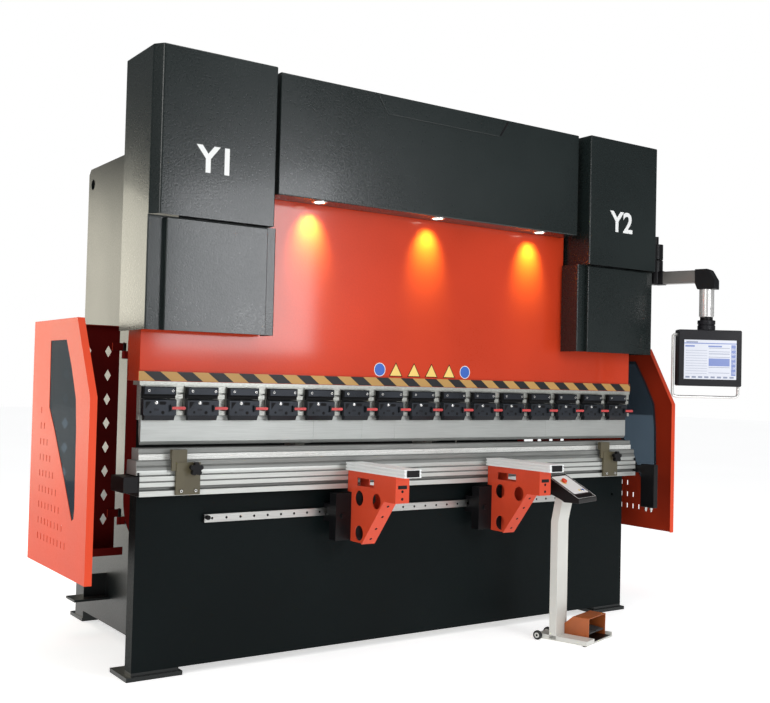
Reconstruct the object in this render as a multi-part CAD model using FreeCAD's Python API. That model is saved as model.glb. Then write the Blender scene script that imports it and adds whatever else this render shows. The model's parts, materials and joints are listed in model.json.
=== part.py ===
import FreeCAD, Part
import math
import os

# Hydraulic press brake, 3200 mm bending length. Millimetres.
# Dimensions below are written in the machine's own frame: X to the operator's right,
# Y to the back with zero on the bending plane, Z up with zero on the floor.
# Every node is moved by -ANCHOR_CENTRE_Y, so the model's origin is the centre of
# the four floor anchors.

Vec = FreeCAD.Vector

# Machine size
MACHINE_TOP = 2876.0
ANCHOR_FRONT_Y = 150.0
ANCHOR_REAR_Y = 1430.0
ANCHOR_CENTRE_Y = (ANCHOR_FRONT_Y + ANCHOR_REAR_Y) / 2
ANCHOR_X = 1382.0
ANCHOR_HOLE_R = 11.0

# C-shaped side frames
FRAME_OUTER_X = 1400.0
FRAME_PLATE = 60.0
FRAME_INNER_X = FRAME_OUTER_X - FRAME_PLATE
FRAME_BOTTOM = 60.0
FRAME_TOP = 2580.0
FRAME_REAR_Y = 1395.0
ARM_FRONT_Y = 190.0
THROAT_Y = 700.0
THROAT_BOTTOM = 560.0
THROAT_TOP = 1650.0
THROAT_LOWER_R = 200.0
THROAT_UPPER_R = 100.0
LIFT_HOLE_Y = 1325.0
LIFT_HOLE_Z = 2487.0
LIFT_HOLE_R = 30.0

# Lower table
BED_FRONT_Y = 6.0
BED_PLATE = 80.0
BED_BACK_Y = BED_FRONT_Y + BED_PLATE
BED_HALF = 1602.0
BED_BOTTOM = 36.0
BED_TOP = 846.0
FOOT_PLATE = 20.0
TABLE_TOP = 941.0
TABLE_FRONT_Y = -82.0
TABLE_HALF = 1624.0
DIE_RAIL_TOP = 1008.0
DIE_TOP = 1061.0

# Ram and its tooling
RAM_FRONT_Y = -20.0
RAM_BACK_Y = 130.0
RAM_HALF = 1616.0
RAM_BOTTOM = 1369.0
RAM_SHOULDER_Z = 1880.0
RAM_TOP = 2320.0
RAM_NECK_HALF = 1030.0
CYLINDER_X = 1333.0
CYLINDER_Y = 25.0
CYLINDER_R = 130.0
BORE_R = 90.0
ROD_R = 75.0
ROD_CLEARANCE = 0.4
ADAPTER_TOP = 1350.0
CLAMP_COUNT = 15
CLAMP_PITCH = 215.3
CLAMP_FIRST_X = -1606.0
CLAMP_WIDTH = 160.0
CLAMP_TOP = 1345.0
CLAMP_BOTTOM = 1190.0
CLAMP_FACE_Y = -56.0
LEVER_Z = 1247.0
LEVER_START = 132.0
LEVER_LENGTH = 70.0
PUNCH_TIP = 1076.0
BEND_HALF = 1600.0
PUNCH_SEAMS = (-BEND_HALF, -683.0, -387.0, -178.0, 916.0, BEND_HALF)

# Sheet-metal covers
SHEET = 3.0
BEAM_COVER_HALF = 1003.0
BEAM_COVER_FRONT = -163.0
BEAM_COVER_BOTTOM = 2279.0
HOUSING_INNER_X = 1048.0
HOUSING_OUTER_X = 1656.0
HOUSING_FRONT_Y = -218.0
HOUSING_BACK_Y = 149.0
HOUSING_BOTTOM = 2113.0
BEVEL_X = 34.0
BEVEL_Y = 46.0
APRON_INNER_X = 1009.0
APRON_FACE_Y = -165.0
APRON_RAISED_Y = -194.0
APRON_BOTTOM = 1599.0
APRON_TOP = 2105.0
COVER_LIP_Y = -32.0
RAM_CLEAR_Z = 2560.0
LAMP_PITCH = 742.0
LAMP_Y = -115.0

# Side guards
GUARD_X = 1891.0
GUARD_SHEET = 2.5
GUARD_TOP = 1647.0
GUARD_BOTTOM = 485.0
GUARD_REAR_Y = 675.0
GUARD_FRONT_Y = -165.0
GUARD_BEVEL_Y = 35.0
GUARD_BEVEL_Z = 1294.0
GUARD_FLANGE = 33.0
HINGE_X = 1430.0
HINGE_R = 12.0
PIN_R = 6.0
CLOSER_INNER_X = 1454.0
SLOT_ROWS = 9
DIAMOND_ROWS = 8
DIAMOND_COLUMNS = 3

# Sheet supports on the bed rail
GUIDE_HALF = 1269.0
GUIDE_Z = 724.0
GUIDE_HEIGHT = 38.0
GUIDE_FRONT_Y = -14.0
SUPPORT_X = {"left": -513.0, "right": 416.0}
SUPPORT_WIDTH = 80.0
BEAM_TOP = 981.0
BEAM_BOTTOM = 941.0
BEAM_WIDTH = 100.0
BEAM_FRONT_Y = -602.0
BEAM_BACK_Y = -93.0

# Pendant
PENDANT_PIVOT = (1735.0, -120.0)
PENDANT_TUBE = (1841.0, -435.0)
ARM_TOP = 2126.0
ARM_HEIGHT = 80.0
PANEL_TOP = 1756.0
PANEL_HEIGHT = 343.0
PANEL_WIDTH = 386.0
PANEL_DEPTH = 78.0
PANEL_TURN = -35.0

# Operator's pedestal with the foot switch
PEDESTAL_CORNER = (697.0, -595.0)
PEDESTAL_TURN = 18.0
BASE_WIDTH = 310.0
BASE_DEPTH = 298.0
CONSOLE_TOP = 905.0


# ---------------------------------------------------------------- helpers

def box(x0, x1, y0, y1, z0, z1):
    return Part.makeBox(x1 - x0, y1 - y0, z1 - z0, Vec(x0, y0, z0))


def rod(x, y, z, radius, length, direction=(0, 0, 1)):
    return Part.makeCylinder(radius, length, Vec(x, y, z), Vec(*direction))


def prism_x(points, x0, x1):
    """Extrude a (y, z) outline along X."""
    wire = Part.makePolygon([Vec(x0, y, z) for y, z in points + points[:1]])
    return Part.Face(wire).extrude(Vec(x1 - x0, 0, 0))


def prism_y(points, y0, y1):
    """Extrude an (x, z) outline along Y."""
    wire = Part.makePolygon([Vec(x, y0, z) for x, z in points + points[:1]])
    return Part.Face(wire).extrude(Vec(0, y1 - y0, 0))


def prism_z(points, z0, z1):
    """Extrude an (x, y) outline along Z."""
    wire = Part.makePolygon([Vec(x, y, z0) for x, y in points + points[:1]])
    return Part.Face(wire).extrude(Vec(0, 0, z1 - z0))


def mirrored(shape):
    return shape.mirror(Vec(0, 0, 0), Vec(1, 0, 0))


def turned(shape, degrees, x, y):
    """A copy turned about the vertical through (x, y)."""
    copy = shape.copy()
    copy.rotate(Vec(x, y, 0), Vec(0, 0, 1), degrees)
    return copy


def fused(first, *others):
    return first.multiFuse(list(others)).removeSplitter()


def cut(shape, *tools):
    return shape.cut(list(tools)).removeSplitter()


nodes = {}


def add(name, *shapes):
    """One node, made of one or more separate solids."""
    solids = []
    for shape in shapes:
        solids += shape.Solids
    nodes[name] = Part.makeCompound(solids)


def add_pair(name, left_shape):
    """The left-hand piece and its mirror image on the right."""
    add(name + "_left", left_shape)
    add(name + "_right", mirrored(left_shape))


# ---------------------------------------------------------------- frame

def throat_outline():
    """The side plate's outline in (y, z), front to back, with round throat corners."""
    def p(y, z):
        return Vec(-FRAME_OUTER_X, y, z)

    def corner(cy, cz, radius, start, end):
        angles = [math.radians(a) for a in (start, (start + end) / 2, end)]
        at = [p(cy + radius * math.cos(a), cz + radius * math.sin(a)) for a in angles]
        return Part.Arc(*at).toShape()

    chamfer = 28.0
    low = THROAT_LOWER_R
    up = THROAT_UPPER_R
    runs = [
        (p(BED_BACK_Y, FRAME_BOTTOM), p(BED_BACK_Y, THROAT_BOTTOM)),
        (p(BED_BACK_Y, THROAT_BOTTOM), p(THROAT_Y - low, THROAT_BOTTOM)),
        corner(THROAT_Y - low, THROAT_BOTTOM + low, low, -90, 0),
        (p(THROAT_Y, THROAT_BOTTOM + low), p(THROAT_Y, THROAT_TOP - up)),
        corner(THROAT_Y - up, THROAT_TOP - up, up, 0, 90),
        (p(THROAT_Y - up, THROAT_TOP), p(ARM_FRONT_Y, THROAT_TOP)),
        (p(ARM_FRONT_Y, THROAT_TOP), p(ARM_FRONT_Y, FRAME_TOP)),
        (p(ARM_FRONT_Y, FRAME_TOP), p(FRAME_REAR_Y - chamfer, FRAME_TOP)),
        (p(FRAME_REAR_Y - chamfer, FRAME_TOP), p(FRAME_REAR_Y, FRAME_TOP - chamfer)),
        (p(FRAME_REAR_Y, FRAME_TOP - chamfer), p(FRAME_REAR_Y, FRAME_BOTTOM)),
        (p(FRAME_REAR_Y, FRAME_BOTTOM), p(BED_BACK_Y, FRAME_BOTTOM)),
    ]
    edges = [Part.makeLine(*run) if isinstance(run, tuple) else run for run in runs]
    return Part.Wire(edges)


def hinge_heights():
    """Bottom heights of the frame's hinge knuckles; the guard's knuckle sits on each."""
    return (620.0, 1480.0)


KNUCKLE = 40.0
KNUCKLE_GAP = 0.6


def side_frame():
    plate = Part.Face(throat_outline()).extrude(Vec(FRAME_PLATE, 0, 0))
    plate = cut(plate, rod(-FRAME_OUTER_X - 1, LIFT_HOLE_Y, LIFT_HOLE_Z, LIFT_HOLE_R,
                           FRAME_PLATE + 2, (1, 0, 0)))
    pieces = []
    for z in hinge_heights():
        y0 = GUARD_REAR_Y - 6
        pieces.append(box(-HINGE_X, -FRAME_OUTER_X, y0, y0 + 12, z, z + KNUCKLE))
        pieces.append(box(-FRAME_OUTER_X - 6, -FRAME_OUTER_X, y0, THROAT_Y + 70, z, z + KNUCKLE))
        pieces.append(rod(-HINGE_X, GUARD_REAR_Y, z, HINGE_R, KNUCKLE))
        pieces.append(rod(-HINGE_X, GUARD_REAR_Y, z, PIN_R, 2 * KNUCKLE + 4))
    # welded outrigger bracket low on the outside of the plate
    shelf = box(-FRAME_OUTER_X - 190, -FRAME_OUTER_X, 850, 990, 200, 212)
    web = box(-FRAME_OUTER_X - 120, -FRAME_OUTER_X, 915, 925, 212, 330)
    return fused(plate, *pieces, shelf, web)


add_pair("side_frame", side_frame())


def foot_plates():
    """Front plates under the table's ends and rear plates under the side frames."""
    front = box(-1628, -1354, -5, 207, 0, FOOT_PLATE)
    pad = box(-1602, -1370, BED_FRONT_Y, BED_BACK_Y, FOOT_PLATE, BED_BOTTOM)
    front = fused(front, pad)
    rear = box(-1404, -1230, 1264, 1470, 0, FOOT_PLATE)
    block = box(-FRAME_OUTER_X, -FRAME_INNER_X, 1264, FRAME_REAR_Y, FOOT_PLATE, FRAME_BOTTOM)
    gusset = box(-FRAME_INNER_X, -1250, 1264, 1284, FOOT_PLATE, FRAME_BOTTOM)
    rear = fused(rear, block, gusset)
    front = cut(front, rod(-ANCHOR_X, ANCHOR_FRONT_Y, -1, ANCHOR_HOLE_R, FOOT_PLATE + 2))
    rear = cut(rear, rod(-ANCHOR_X, ANCHOR_REAR_Y, -1, ANCHOR_HOLE_R, FOOT_PLATE + 2))
    return [front, rear, mirrored(front), mirrored(rear)]


add("foot_plates", *foot_plates())

bed = box(-BED_HALF, BED_HALF, BED_FRONT_Y, BED_BACK_Y, BED_BOTTOM, BED_TOP)
access_hole = rod(1512, BED_FRONT_Y - 1, 724, 9, BED_PLATE + 2, (0, 1, 0))
add("bed", cut(bed, access_hole))

add("crossbeams",
    box(-FRAME_INNER_X, FRAME_INNER_X, 1230, 1330, 2200, 2400),
    box(-FRAME_INNER_X, FRAME_INNER_X, 1230, 1330, 120, 320),
    box(-FRAME_INNER_X, FRAME_INNER_X, 260, 800, 1700, 1720))


def rear_guard_leaf():
    leaf = box(-FRAME_INNER_X + 4, -4, 1360, 1362.5, 640, 1690)
    edge = box(-FRAME_INNER_X + 4, -4, 1340, 1360, 1665, 1690)
    foot = box(-FRAME_INNER_X + 4, -4, 1340, 1360, 640, 665)
    return fused(leaf, edge, foot)


add("rear_guard", rear_guard_leaf(), mirrored(rear_guard_leaf()))

# ---------------------------------------------------------------- table and die

table_outline = [
    (BED_BACK_Y, BED_TOP), (BED_BACK_Y, TABLE_TOP), (-66.0, TABLE_TOP),
    (TABLE_FRONT_Y, TABLE_TOP - 4), (TABLE_FRONT_Y, 916), (-77, 914), (-77, 911),
    (TABLE_FRONT_Y, 909), (TABLE_FRONT_Y, 889), (-60, 886), (-60, 874),
    (TABLE_FRONT_Y, 871), (TABLE_FRONT_Y, BED_TOP)]
add("crowning_table", prism_x(table_outline, -TABLE_HALF, TABLE_HALF))

rail_outline = [
    (56.0, TABLE_TOP), (56.0, 1000), (48.0, DIE_RAIL_TOP), (-52.0, DIE_RAIL_TOP),
    (-60.0, 1004), (-60.0, 985), (-55.0, 982), (-62.0, 976), (-66.0, 962), (-66.0, TABLE_TOP)]
add("die_rail", prism_x(rail_outline, -1634, 1634))

die_outline = [
    (40.0, DIE_RAIL_TOP), (40.0, DIE_TOP), (13.0, DIE_TOP), (1.0, DIE_TOP - 14),
    (-1.0, DIE_TOP - 14), (-13.0, DIE_TOP), (-40.0, DIE_TOP), (-40.0, 1038),
    (-46.0, 1035), (-46.0, DIE_RAIL_TOP)]
add("die", prism_x(die_outline, -1618, 1618))


def linear_rail():
    half = GUIDE_HEIGHT / 2
    rail = box(-GUIDE_HALF, GUIDE_HALF, GUIDE_FRONT_Y, BED_FRONT_Y, GUIDE_Z - half, GUIDE_Z + half)
    holes = []
    count = 34
    for i in range(count):
        x = -GUIDE_HALF + 40 + i * (2 * GUIDE_HALF - 80) / (count - 1)
        holes.append(rod(x, GUIDE_FRONT_Y - 1, GUIDE_Z, 6, 9, (0, 1, 0)))
    stops = [rod(side * (GUIDE_HALF - 14), GUIDE_FRONT_Y - 16, GUIDE_Z + 5, 11, 16, (0, 1, 0))
             for side in (-1, 1)]
    return fused(cut(rail, *holes), *stops)


add("linear_rail", linear_rail())


def end_stop(x):
    """Angle stop screwed to the table front, with a star knob."""
    block = box(x - 21, x + 53, -92, TABLE_FRONT_Y, 960, 1057)
    back = box(x - 21, x + 53, -82, -66.5, 1012, 1057)
    plate = box(x, x + 120, -96, TABLE_FRONT_Y, 850, 999)
    studs = [rod(x + 24, -104, 868, 7, 8, (0, 1, 0)), rod(x + 96, -104, 868, 7, 8, (0, 1, 0))]
    stem = rod(x + 86, -112, 970, 8, 16, (0, 1, 0))
    hub = rod(x + 86, -134, 970, 22, 22, (0, 1, 0))
    lobes = []
    for i in range(5):
        a = math.radians(72 * i + 18)
        lobes.append(rod(x + 86 + 22 * math.cos(a), -134, 970 + 22 * math.sin(a), 11, 22, (0, 1, 0)))
    return [fused(block, back, plate, *studs, stem), fused(hub, *lobes)]


add("end_stops", *(end_stop(-1454) + end_stop(1326)))

# ---------------------------------------------------------------- ram

ram_outline = [
    (-RAM_HALF, RAM_BOTTOM), (RAM_HALF, RAM_BOTTOM), (RAM_HALF, RAM_SHOULDER_Z),
    (RAM_NECK_HALF, RAM_SHOULDER_Z), (RAM_NECK_HALF, RAM_TOP), (-RAM_NECK_HALF, RAM_TOP),
    (-RAM_NECK_HALF, RAM_SHOULDER_Z), (-RAM_HALF, RAM_SHOULDER_Z)]
ram = prism_y(ram_outline, RAM_FRONT_Y, RAM_BACK_Y)
hazard_bar = box(-TABLE_HALF, TABLE_HALF, -28, RAM_FRONT_Y, RAM_BOTTOM, 1416)
add("ram", fused(ram, hazard_bar))


def clamp_x(i):
    return CLAMP_FIRST_X + i * CLAMP_PITCH


def tool_adapter(i):
    """Block between ram and clamp, with the tang slot along its lower edge."""
    x = clamp_x(i)
    outline = [(-22.0, ADAPTER_TOP), (-22.0, 1318), (-8.0, 1318), (-8.0, 1212), (8.0, 1212),
               (8.0, CLAMP_BOTTOM), (30.0, CLAMP_BOTTOM), (30.0, ADAPTER_TOP)]
    block = prism_x(outline, x, x + 210)
    upper_tab = box(x + 163, x + 203, -26, -8, 1290, 1310)
    small_tab = box(x + 163, x + 180, -30, -8, 1260, 1281)
    lower_tab = box(x + 163, x + 207, -28, -8, 1213, 1233)
    return fused(block, upper_tab, small_tab, lower_tab)


def adapter_bar():
    return box(-1617, 1617, -30, 50, ADAPTER_TOP, RAM_BOTTOM)


add("tool_adapters", adapter_bar(), *[tool_adapter(i) for i in range(CLAMP_COUNT)])


def clamp_plate(i):
    x = clamp_x(i)
    outline = [(-22.5, CLAMP_TOP), (-50.0, CLAMP_TOP), (-52.0, CLAMP_TOP - 2), (-52.0, 1310),
               (-42.0, 1306), (-42.0, 1292), (CLAMP_FACE_Y, 1288), (CLAMP_FACE_Y, 1213),
               (-44.0, CLAMP_BOTTOM), (-22.5, CLAMP_BOTTOM)]
    plate = prism_x(outline, x, x + CLAMP_WIDTH)
    screws = [rod(x + 38, -55, 1329, 6, 5, (0, 1, 0)), rod(x + 138, -55, 1329, 6, 5, (0, 1, 0)),
              rod(x + 62, -60, 1272, 7, 6, (0, 1, 0))]
    pockets = [rod(x + 94, CLAMP_FACE_Y - 1, 1272, 10, 6, (0, 1, 0)),
               rod(x + 84, CLAMP_FACE_Y - 1, 1226, 8, 6, (0, 1, 0)),
               rod(x + 36, CLAMP_FACE_Y - 1, 1228, 6, 6, (0, 1, 0))]
    pin_x = x + LEVER_START
    lugs = [box(pin_x - 5, pin_x + 5, -68, CLAMP_FACE_Y, LEVER_Z + a, LEVER_Z + b)
            for a, b in ((9.6, 15), (-15, -9.6))]
    return fused(cut(plate, *pockets), *screws, *lugs)


add("clamp_plates", *[clamp_plate(i) for i in range(CLAMP_COUNT)])


def lever(i):
    """Red locking lever, turning on a short vertical pin in front of its clamp plate."""
    x = clamp_x(i) + LEVER_START
    y0 = CLAMP_FACE_Y - 13
    y1 = CLAMP_FACE_Y - 1.5
    bar = box(x, x + LEVER_LENGTH - 6, y0, y1, LEVER_Z - 7, LEVER_Z + 7)
    mid = (y0 + y1) / 2
    nose = rod(x + LEVER_LENGTH - 6, mid, LEVER_Z - 7, (y1 - y0) / 2, 14)
    heel = rod(x, mid, LEVER_Z - 9, (y1 - y0) / 2, 18)
    return fused(bar, nose, heel)


for number in range(CLAMP_COUNT):
    add("clamp_lever_%02d" % (number + 1), lever(number))


def punch(x0, x1):
    outline = [(-7.0, 1211), (7.0, 1211), (7.0, 1189.5), (13.0, 1189.5), (13.0, 1130),
               (5.0, 1096), (0.8, PUNCH_TIP), (-0.8, PUNCH_TIP), (-13.0, 1092), (-13.0, 1189.5),
               (-7.0, 1189.5)]
    return prism_x(outline, x0 + 0.2, x1 - 0.2)


add("punches", *[punch(a, b) for a, b in zip(PUNCH_SEAMS[:-1], PUNCH_SEAMS[1:])])

# ---------------------------------------------------------------- cylinders

CYLINDER_BASE = 2120.0
CYLINDER_TOP = 2560.0
PISTON_Z = 2190.0
PISTON_HEIGHT = 80.0


def cylinder():
    body = rod(-CYLINDER_X, CYLINDER_Y, CYLINDER_BASE, CYLINDER_R, CYLINDER_TOP - CYLINDER_BASE)
    flange = box(-CYLINDER_X - 150, -CYLINDER_X + 150, -105, ARM_FRONT_Y, CYLINDER_BASE,
                 CYLINDER_BASE + 50)
    valve = rod(-CYLINDER_X, CYLINDER_Y, CYLINDER_TOP, 80, 90)
    gland = rod(-CYLINDER_X, CYLINDER_Y, CYLINDER_BASE - 1, ROD_R + ROD_CLEARANCE, 60)
    bore = rod(-CYLINDER_X, CYLINDER_Y, CYLINDER_BASE + 50, BORE_R + ROD_CLEARANCE, 350)
    return cut(fused(body, flange, valve), gland, bore)


def piston_rod():
    shaft = rod(-CYLINDER_X, CYLINDER_Y, RAM_SHOULDER_Z, ROD_R, PISTON_Z - RAM_SHOULDER_Z)
    collar = box(-CYLINDER_X - 120, -CYLINDER_X + 120, RAM_FRONT_Y, RAM_BACK_Y, RAM_SHOULDER_Z,
                 RAM_SHOULDER_Z + 25)
    piston = rod(-CYLINDER_X, CYLINDER_Y, PISTON_Z, BORE_R, PISTON_HEIGHT)
    return fused(shaft, collar, piston)


add("cylinders", cylinder(), mirrored(cylinder()))
add("piston_rods", piston_rod(), mirrored(piston_rod()))


def hydraulic_unit():
    tank = box(-500, 500, 300, 760, 1720, 2180)
    filler = rod(350, 650, 2180, 35, 40)
    motor = rod(560, 530, 1860, 115, 330, (1, 0, 0))
    motor_foot = box(600, 850, 440, 620, 1720, 1780)
    pump = rod(500, 530, 1860, 70, 60, (1, 0, 0))
    block = box(-860, -560, 420, 620, 1720, 1880)
    return [fused(tank, filler), fused(motor, motor_foot), pump, block]


add("hydraulic_unit", *hydraulic_unit())
add("electric_cabinet", fused(box(1405, 1650, 760, 1300, 1720, 2420),
                              box(1400, 1405, 800, 1260, 1760, 2380)))

# ---------------------------------------------------------------- covers


def plan_shell(points, z0, z1, closed_top):
    """Bent sheet following an open (x, y) polyline, with an optional lid."""
    inner = offset_polyline(points, SHEET)
    shell = prism_z(points + inner[::-1], z0, z1)
    if closed_top:
        lid = prism_z(points, z1 - SHEET, z1)
        shell = fused(shell, lid)
    return shell


def offset_polyline(points, distance):
    """Parallel polyline to the left of the direction of travel."""
    result = []
    for i, (x, y) in enumerate(points):
        normals = []
        for j in (i - 1, i):
            if 0 <= j < len(points) - 1:
                dx = points[j + 1][0] - points[j][0]
                dy = points[j + 1][1] - points[j][1]
                length = math.hypot(dx, dy)
                normals.append((-dy / length, dx / length))
        nx = sum(n[0] for n in normals)
        ny = sum(n[1] for n in normals)
        scale = distance * len(normals) / (nx * nx + ny * ny)
        result.append((x + nx * scale, y + ny * scale))
    return result


upper_plan = [
    (-HOUSING_OUTER_X, HOUSING_BACK_Y), (-HOUSING_OUTER_X, HOUSING_FRONT_Y + BEVEL_Y),
    (-HOUSING_OUTER_X + BEVEL_X, HOUSING_FRONT_Y), (-HOUSING_INNER_X, HOUSING_FRONT_Y),
    (-HOUSING_INNER_X, HOUSING_BACK_Y)]
add_pair("upper_cover", plan_shell(upper_plan, HOUSING_BOTTOM, MACHINE_TOP, True))


def lower_cover():
    plan = [
        (-HOUSING_OUTER_X, HOUSING_BACK_Y), (-HOUSING_OUTER_X, APRON_FACE_Y),
        (-APRON_INNER_X, APRON_FACE_Y), (-APRON_INNER_X, COVER_LIP_Y)]
    shell = plan_shell(plan, APRON_BOTTOM, HOUSING_BOTTOM - 0.5, False)
    raised = box(-1578, -1067, APRON_RAISED_Y, APRON_FACE_Y, APRON_BOTTOM, APRON_TOP)
    hollow = box(-1578 + SHEET, -1067 - SHEET, APRON_RAISED_Y + SHEET, APRON_FACE_Y,
                 APRON_BOTTOM - 1, APRON_TOP - SHEET)
    return fused(shell, cut(raised, hollow))


add_pair("lower_cover", lower_cover())


def beam_cover():
    top = MACHINE_TOP - 2
    plan = [(-BEAM_COVER_HALF, COVER_LIP_Y), (-BEAM_COVER_HALF, BEAM_COVER_FRONT),
            (BEAM_COVER_HALF, BEAM_COVER_FRONT), (BEAM_COVER_HALF, COVER_LIP_Y)]
    shell = plan_shell(plan, BEAM_COVER_BOTTOM, top, True)
    lid = box(-BEAM_COVER_HALF, BEAM_COVER_HALF, COVER_LIP_Y, HOUSING_BACK_Y, top - SHEET, top)
    cheek = box(-BEAM_COVER_HALF, -BEAM_COVER_HALF + SHEET, COVER_LIP_Y, HOUSING_BACK_Y,
                RAM_CLEAR_Z, top)
    sill = box(-BEAM_COVER_HALF, BEAM_COVER_HALF, BEAM_COVER_FRONT, COVER_LIP_Y,
               BEAM_COVER_BOTTOM, BEAM_COVER_BOTTOM + SHEET)
    holes = [rod(i * LAMP_PITCH, LAMP_Y, BEAM_COVER_BOTTOM - 1, 34, SHEET + 2) for i in (-1, 0, 1)]
    return cut(fused(shell, lid, cheek, mirrored(cheek), sill), *holes)


def downlight(x):
    """Round lamp let into the beam cover's sill."""
    bezel = rod(x, LAMP_Y, BEAM_COVER_BOTTOM - 5, 42, 5)
    can = rod(x, LAMP_Y, BEAM_COVER_BOTTOM, 33.5, 40)
    return fused(bezel, can)


add("beam_cover", beam_cover(), *[downlight(i * LAMP_PITCH) for i in (-1, 0, 1)])

# ---------------------------------------------------------------- side guards

GUARD_OUTLINE = [
    (GUARD_REAR_Y, GUARD_TOP), (GUARD_BEVEL_Y, GUARD_TOP), (GUARD_FRONT_Y, GUARD_BEVEL_Z),
    (GUARD_FRONT_Y, GUARD_BOTTOM), (GUARD_REAR_Y, GUARD_BOTTOM)]
WINDOW_OUTLINE = [
    (411.0, 1549), (176.0, 1549), (94.0, 1425), (22.0, 1284), (5.0, 1144), (-5.0, 800),
    (4.0, 752), (30.0, 742), (151.0, 911), (313.0, 1128), (403.0, 1232)]
SLOT_FIRST = (520.0, 1216.0)
SLOT_PITCH_Y = 50.0
SLOT_PITCH_Z = 75.0


def guard_flange():
    """Flange bent inward along the front edges of the side panel."""
    front = [(GUARD_BEVEL_Y, GUARD_TOP), (GUARD_FRONT_Y, GUARD_BEVEL_Z), (GUARD_FRONT_Y, GUARD_BOTTOM)]
    back = [(GUARD_FRONT_Y + GUARD_SHEET, GUARD_BOTTOM), (GUARD_FRONT_Y + GUARD_SHEET, GUARD_BEVEL_Z),
            (GUARD_BEVEL_Y + GUARD_SHEET, GUARD_TOP)]
    return prism_x(front + back, -GUARD_X, -GUARD_X + GUARD_FLANGE)


def diamond(x, z):
    return prism_y([(x - 17, z), (x, z - 30), (x + 17, z), (x, z + 30)],
                   GUARD_REAR_Y - 10, GUARD_REAR_Y + 10)


def side_guard():
    side = prism_x(GUARD_OUTLINE, -GUARD_X, -GUARD_X + GUARD_SHEET)
    window = prism_x(WINDOW_OUTLINE, -GUARD_X - 1, -GUARD_X + GUARD_SHEET + 1)
    slots = []
    for row in range(SLOT_ROWS):
        for column in range(row + 1):
            y = SLOT_FIRST[0] - column * SLOT_PITCH_Y
            z = SLOT_FIRST[1] - row * SLOT_PITCH_Z
            slots.append(box(-GUARD_X - 1, -GUARD_X + 4, y - 4, y + 4, z - 15, z + 15))
    side = cut(side, window, *slots)
    closer = box(-GUARD_X, -CLOSER_INNER_X, GUARD_REAR_Y - GUARD_SHEET, GUARD_REAR_Y,
                 GUARD_BOTTOM, GUARD_TOP)
    diamonds = [diamond(-1514 - 106 * c, 1514 - 123 * r)
                for c in range(DIAMOND_COLUMNS) for r in range(DIAMOND_ROWS)]
    closer = cut(closer, *diamonds)
    top_flange = box(-GUARD_X, -CLOSER_INNER_X, GUARD_REAR_Y - 40, GUARD_REAR_Y,
                     GUARD_TOP - GUARD_SHEET, GUARD_TOP)
    tray = box(-GUARD_X, -CLOSER_INNER_X, GUARD_REAR_Y - 130, GUARD_REAR_Y,
               GUARD_BOTTOM, GUARD_BOTTOM + GUARD_SHEET)
    tray_lip = box(-GUARD_X, -CLOSER_INNER_X, GUARD_REAR_Y - 130, GUARD_REAR_Y - 130 + GUARD_SHEET,
                   GUARD_BOTTOM, GUARD_BOTTOM + 40)
    knuckles = []
    for z in hinge_heights():
        low = z + KNUCKLE + KNUCKLE_GAP
        strap = box(-CLOSER_INNER_X - 40, -HINGE_X, GUARD_REAR_Y - GUARD_SHEET - 6,
                    GUARD_REAR_Y - GUARD_SHEET, low, low + KNUCKLE)
        barrel = rod(-HINGE_X, GUARD_REAR_Y, low, HINGE_R, KNUCKLE)
        clear = rod(-HINGE_X, GUARD_REAR_Y, low - 1, PIN_R + 0.4, KNUCKLE + 2)
        knuckles.append(cut(fused(strap, barrel), clear))
    return fused(side, guard_flange(), closer, top_flange, tray, tray_lip, *knuckles)


add_pair("side_guard", side_guard())


def guard_window():
    """Clear pane screwed to the inside of the side panel."""
    outline = [(430.0, 1568), (166.0, 1568), (78.0, 1432), (2.0, 1290), (-14.0, 1146),
               (-24.0, 800), (-14.0, 722), (38.0, 718), (168.0, 900), (330.0, 1118), (424.0, 1226)]
    x0 = -GUARD_X + GUARD_SHEET
    return prism_x(outline, x0, x0 + 4)


add_pair("guard_window", guard_window())

# ---------------------------------------------------------------- sheet supports


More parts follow.
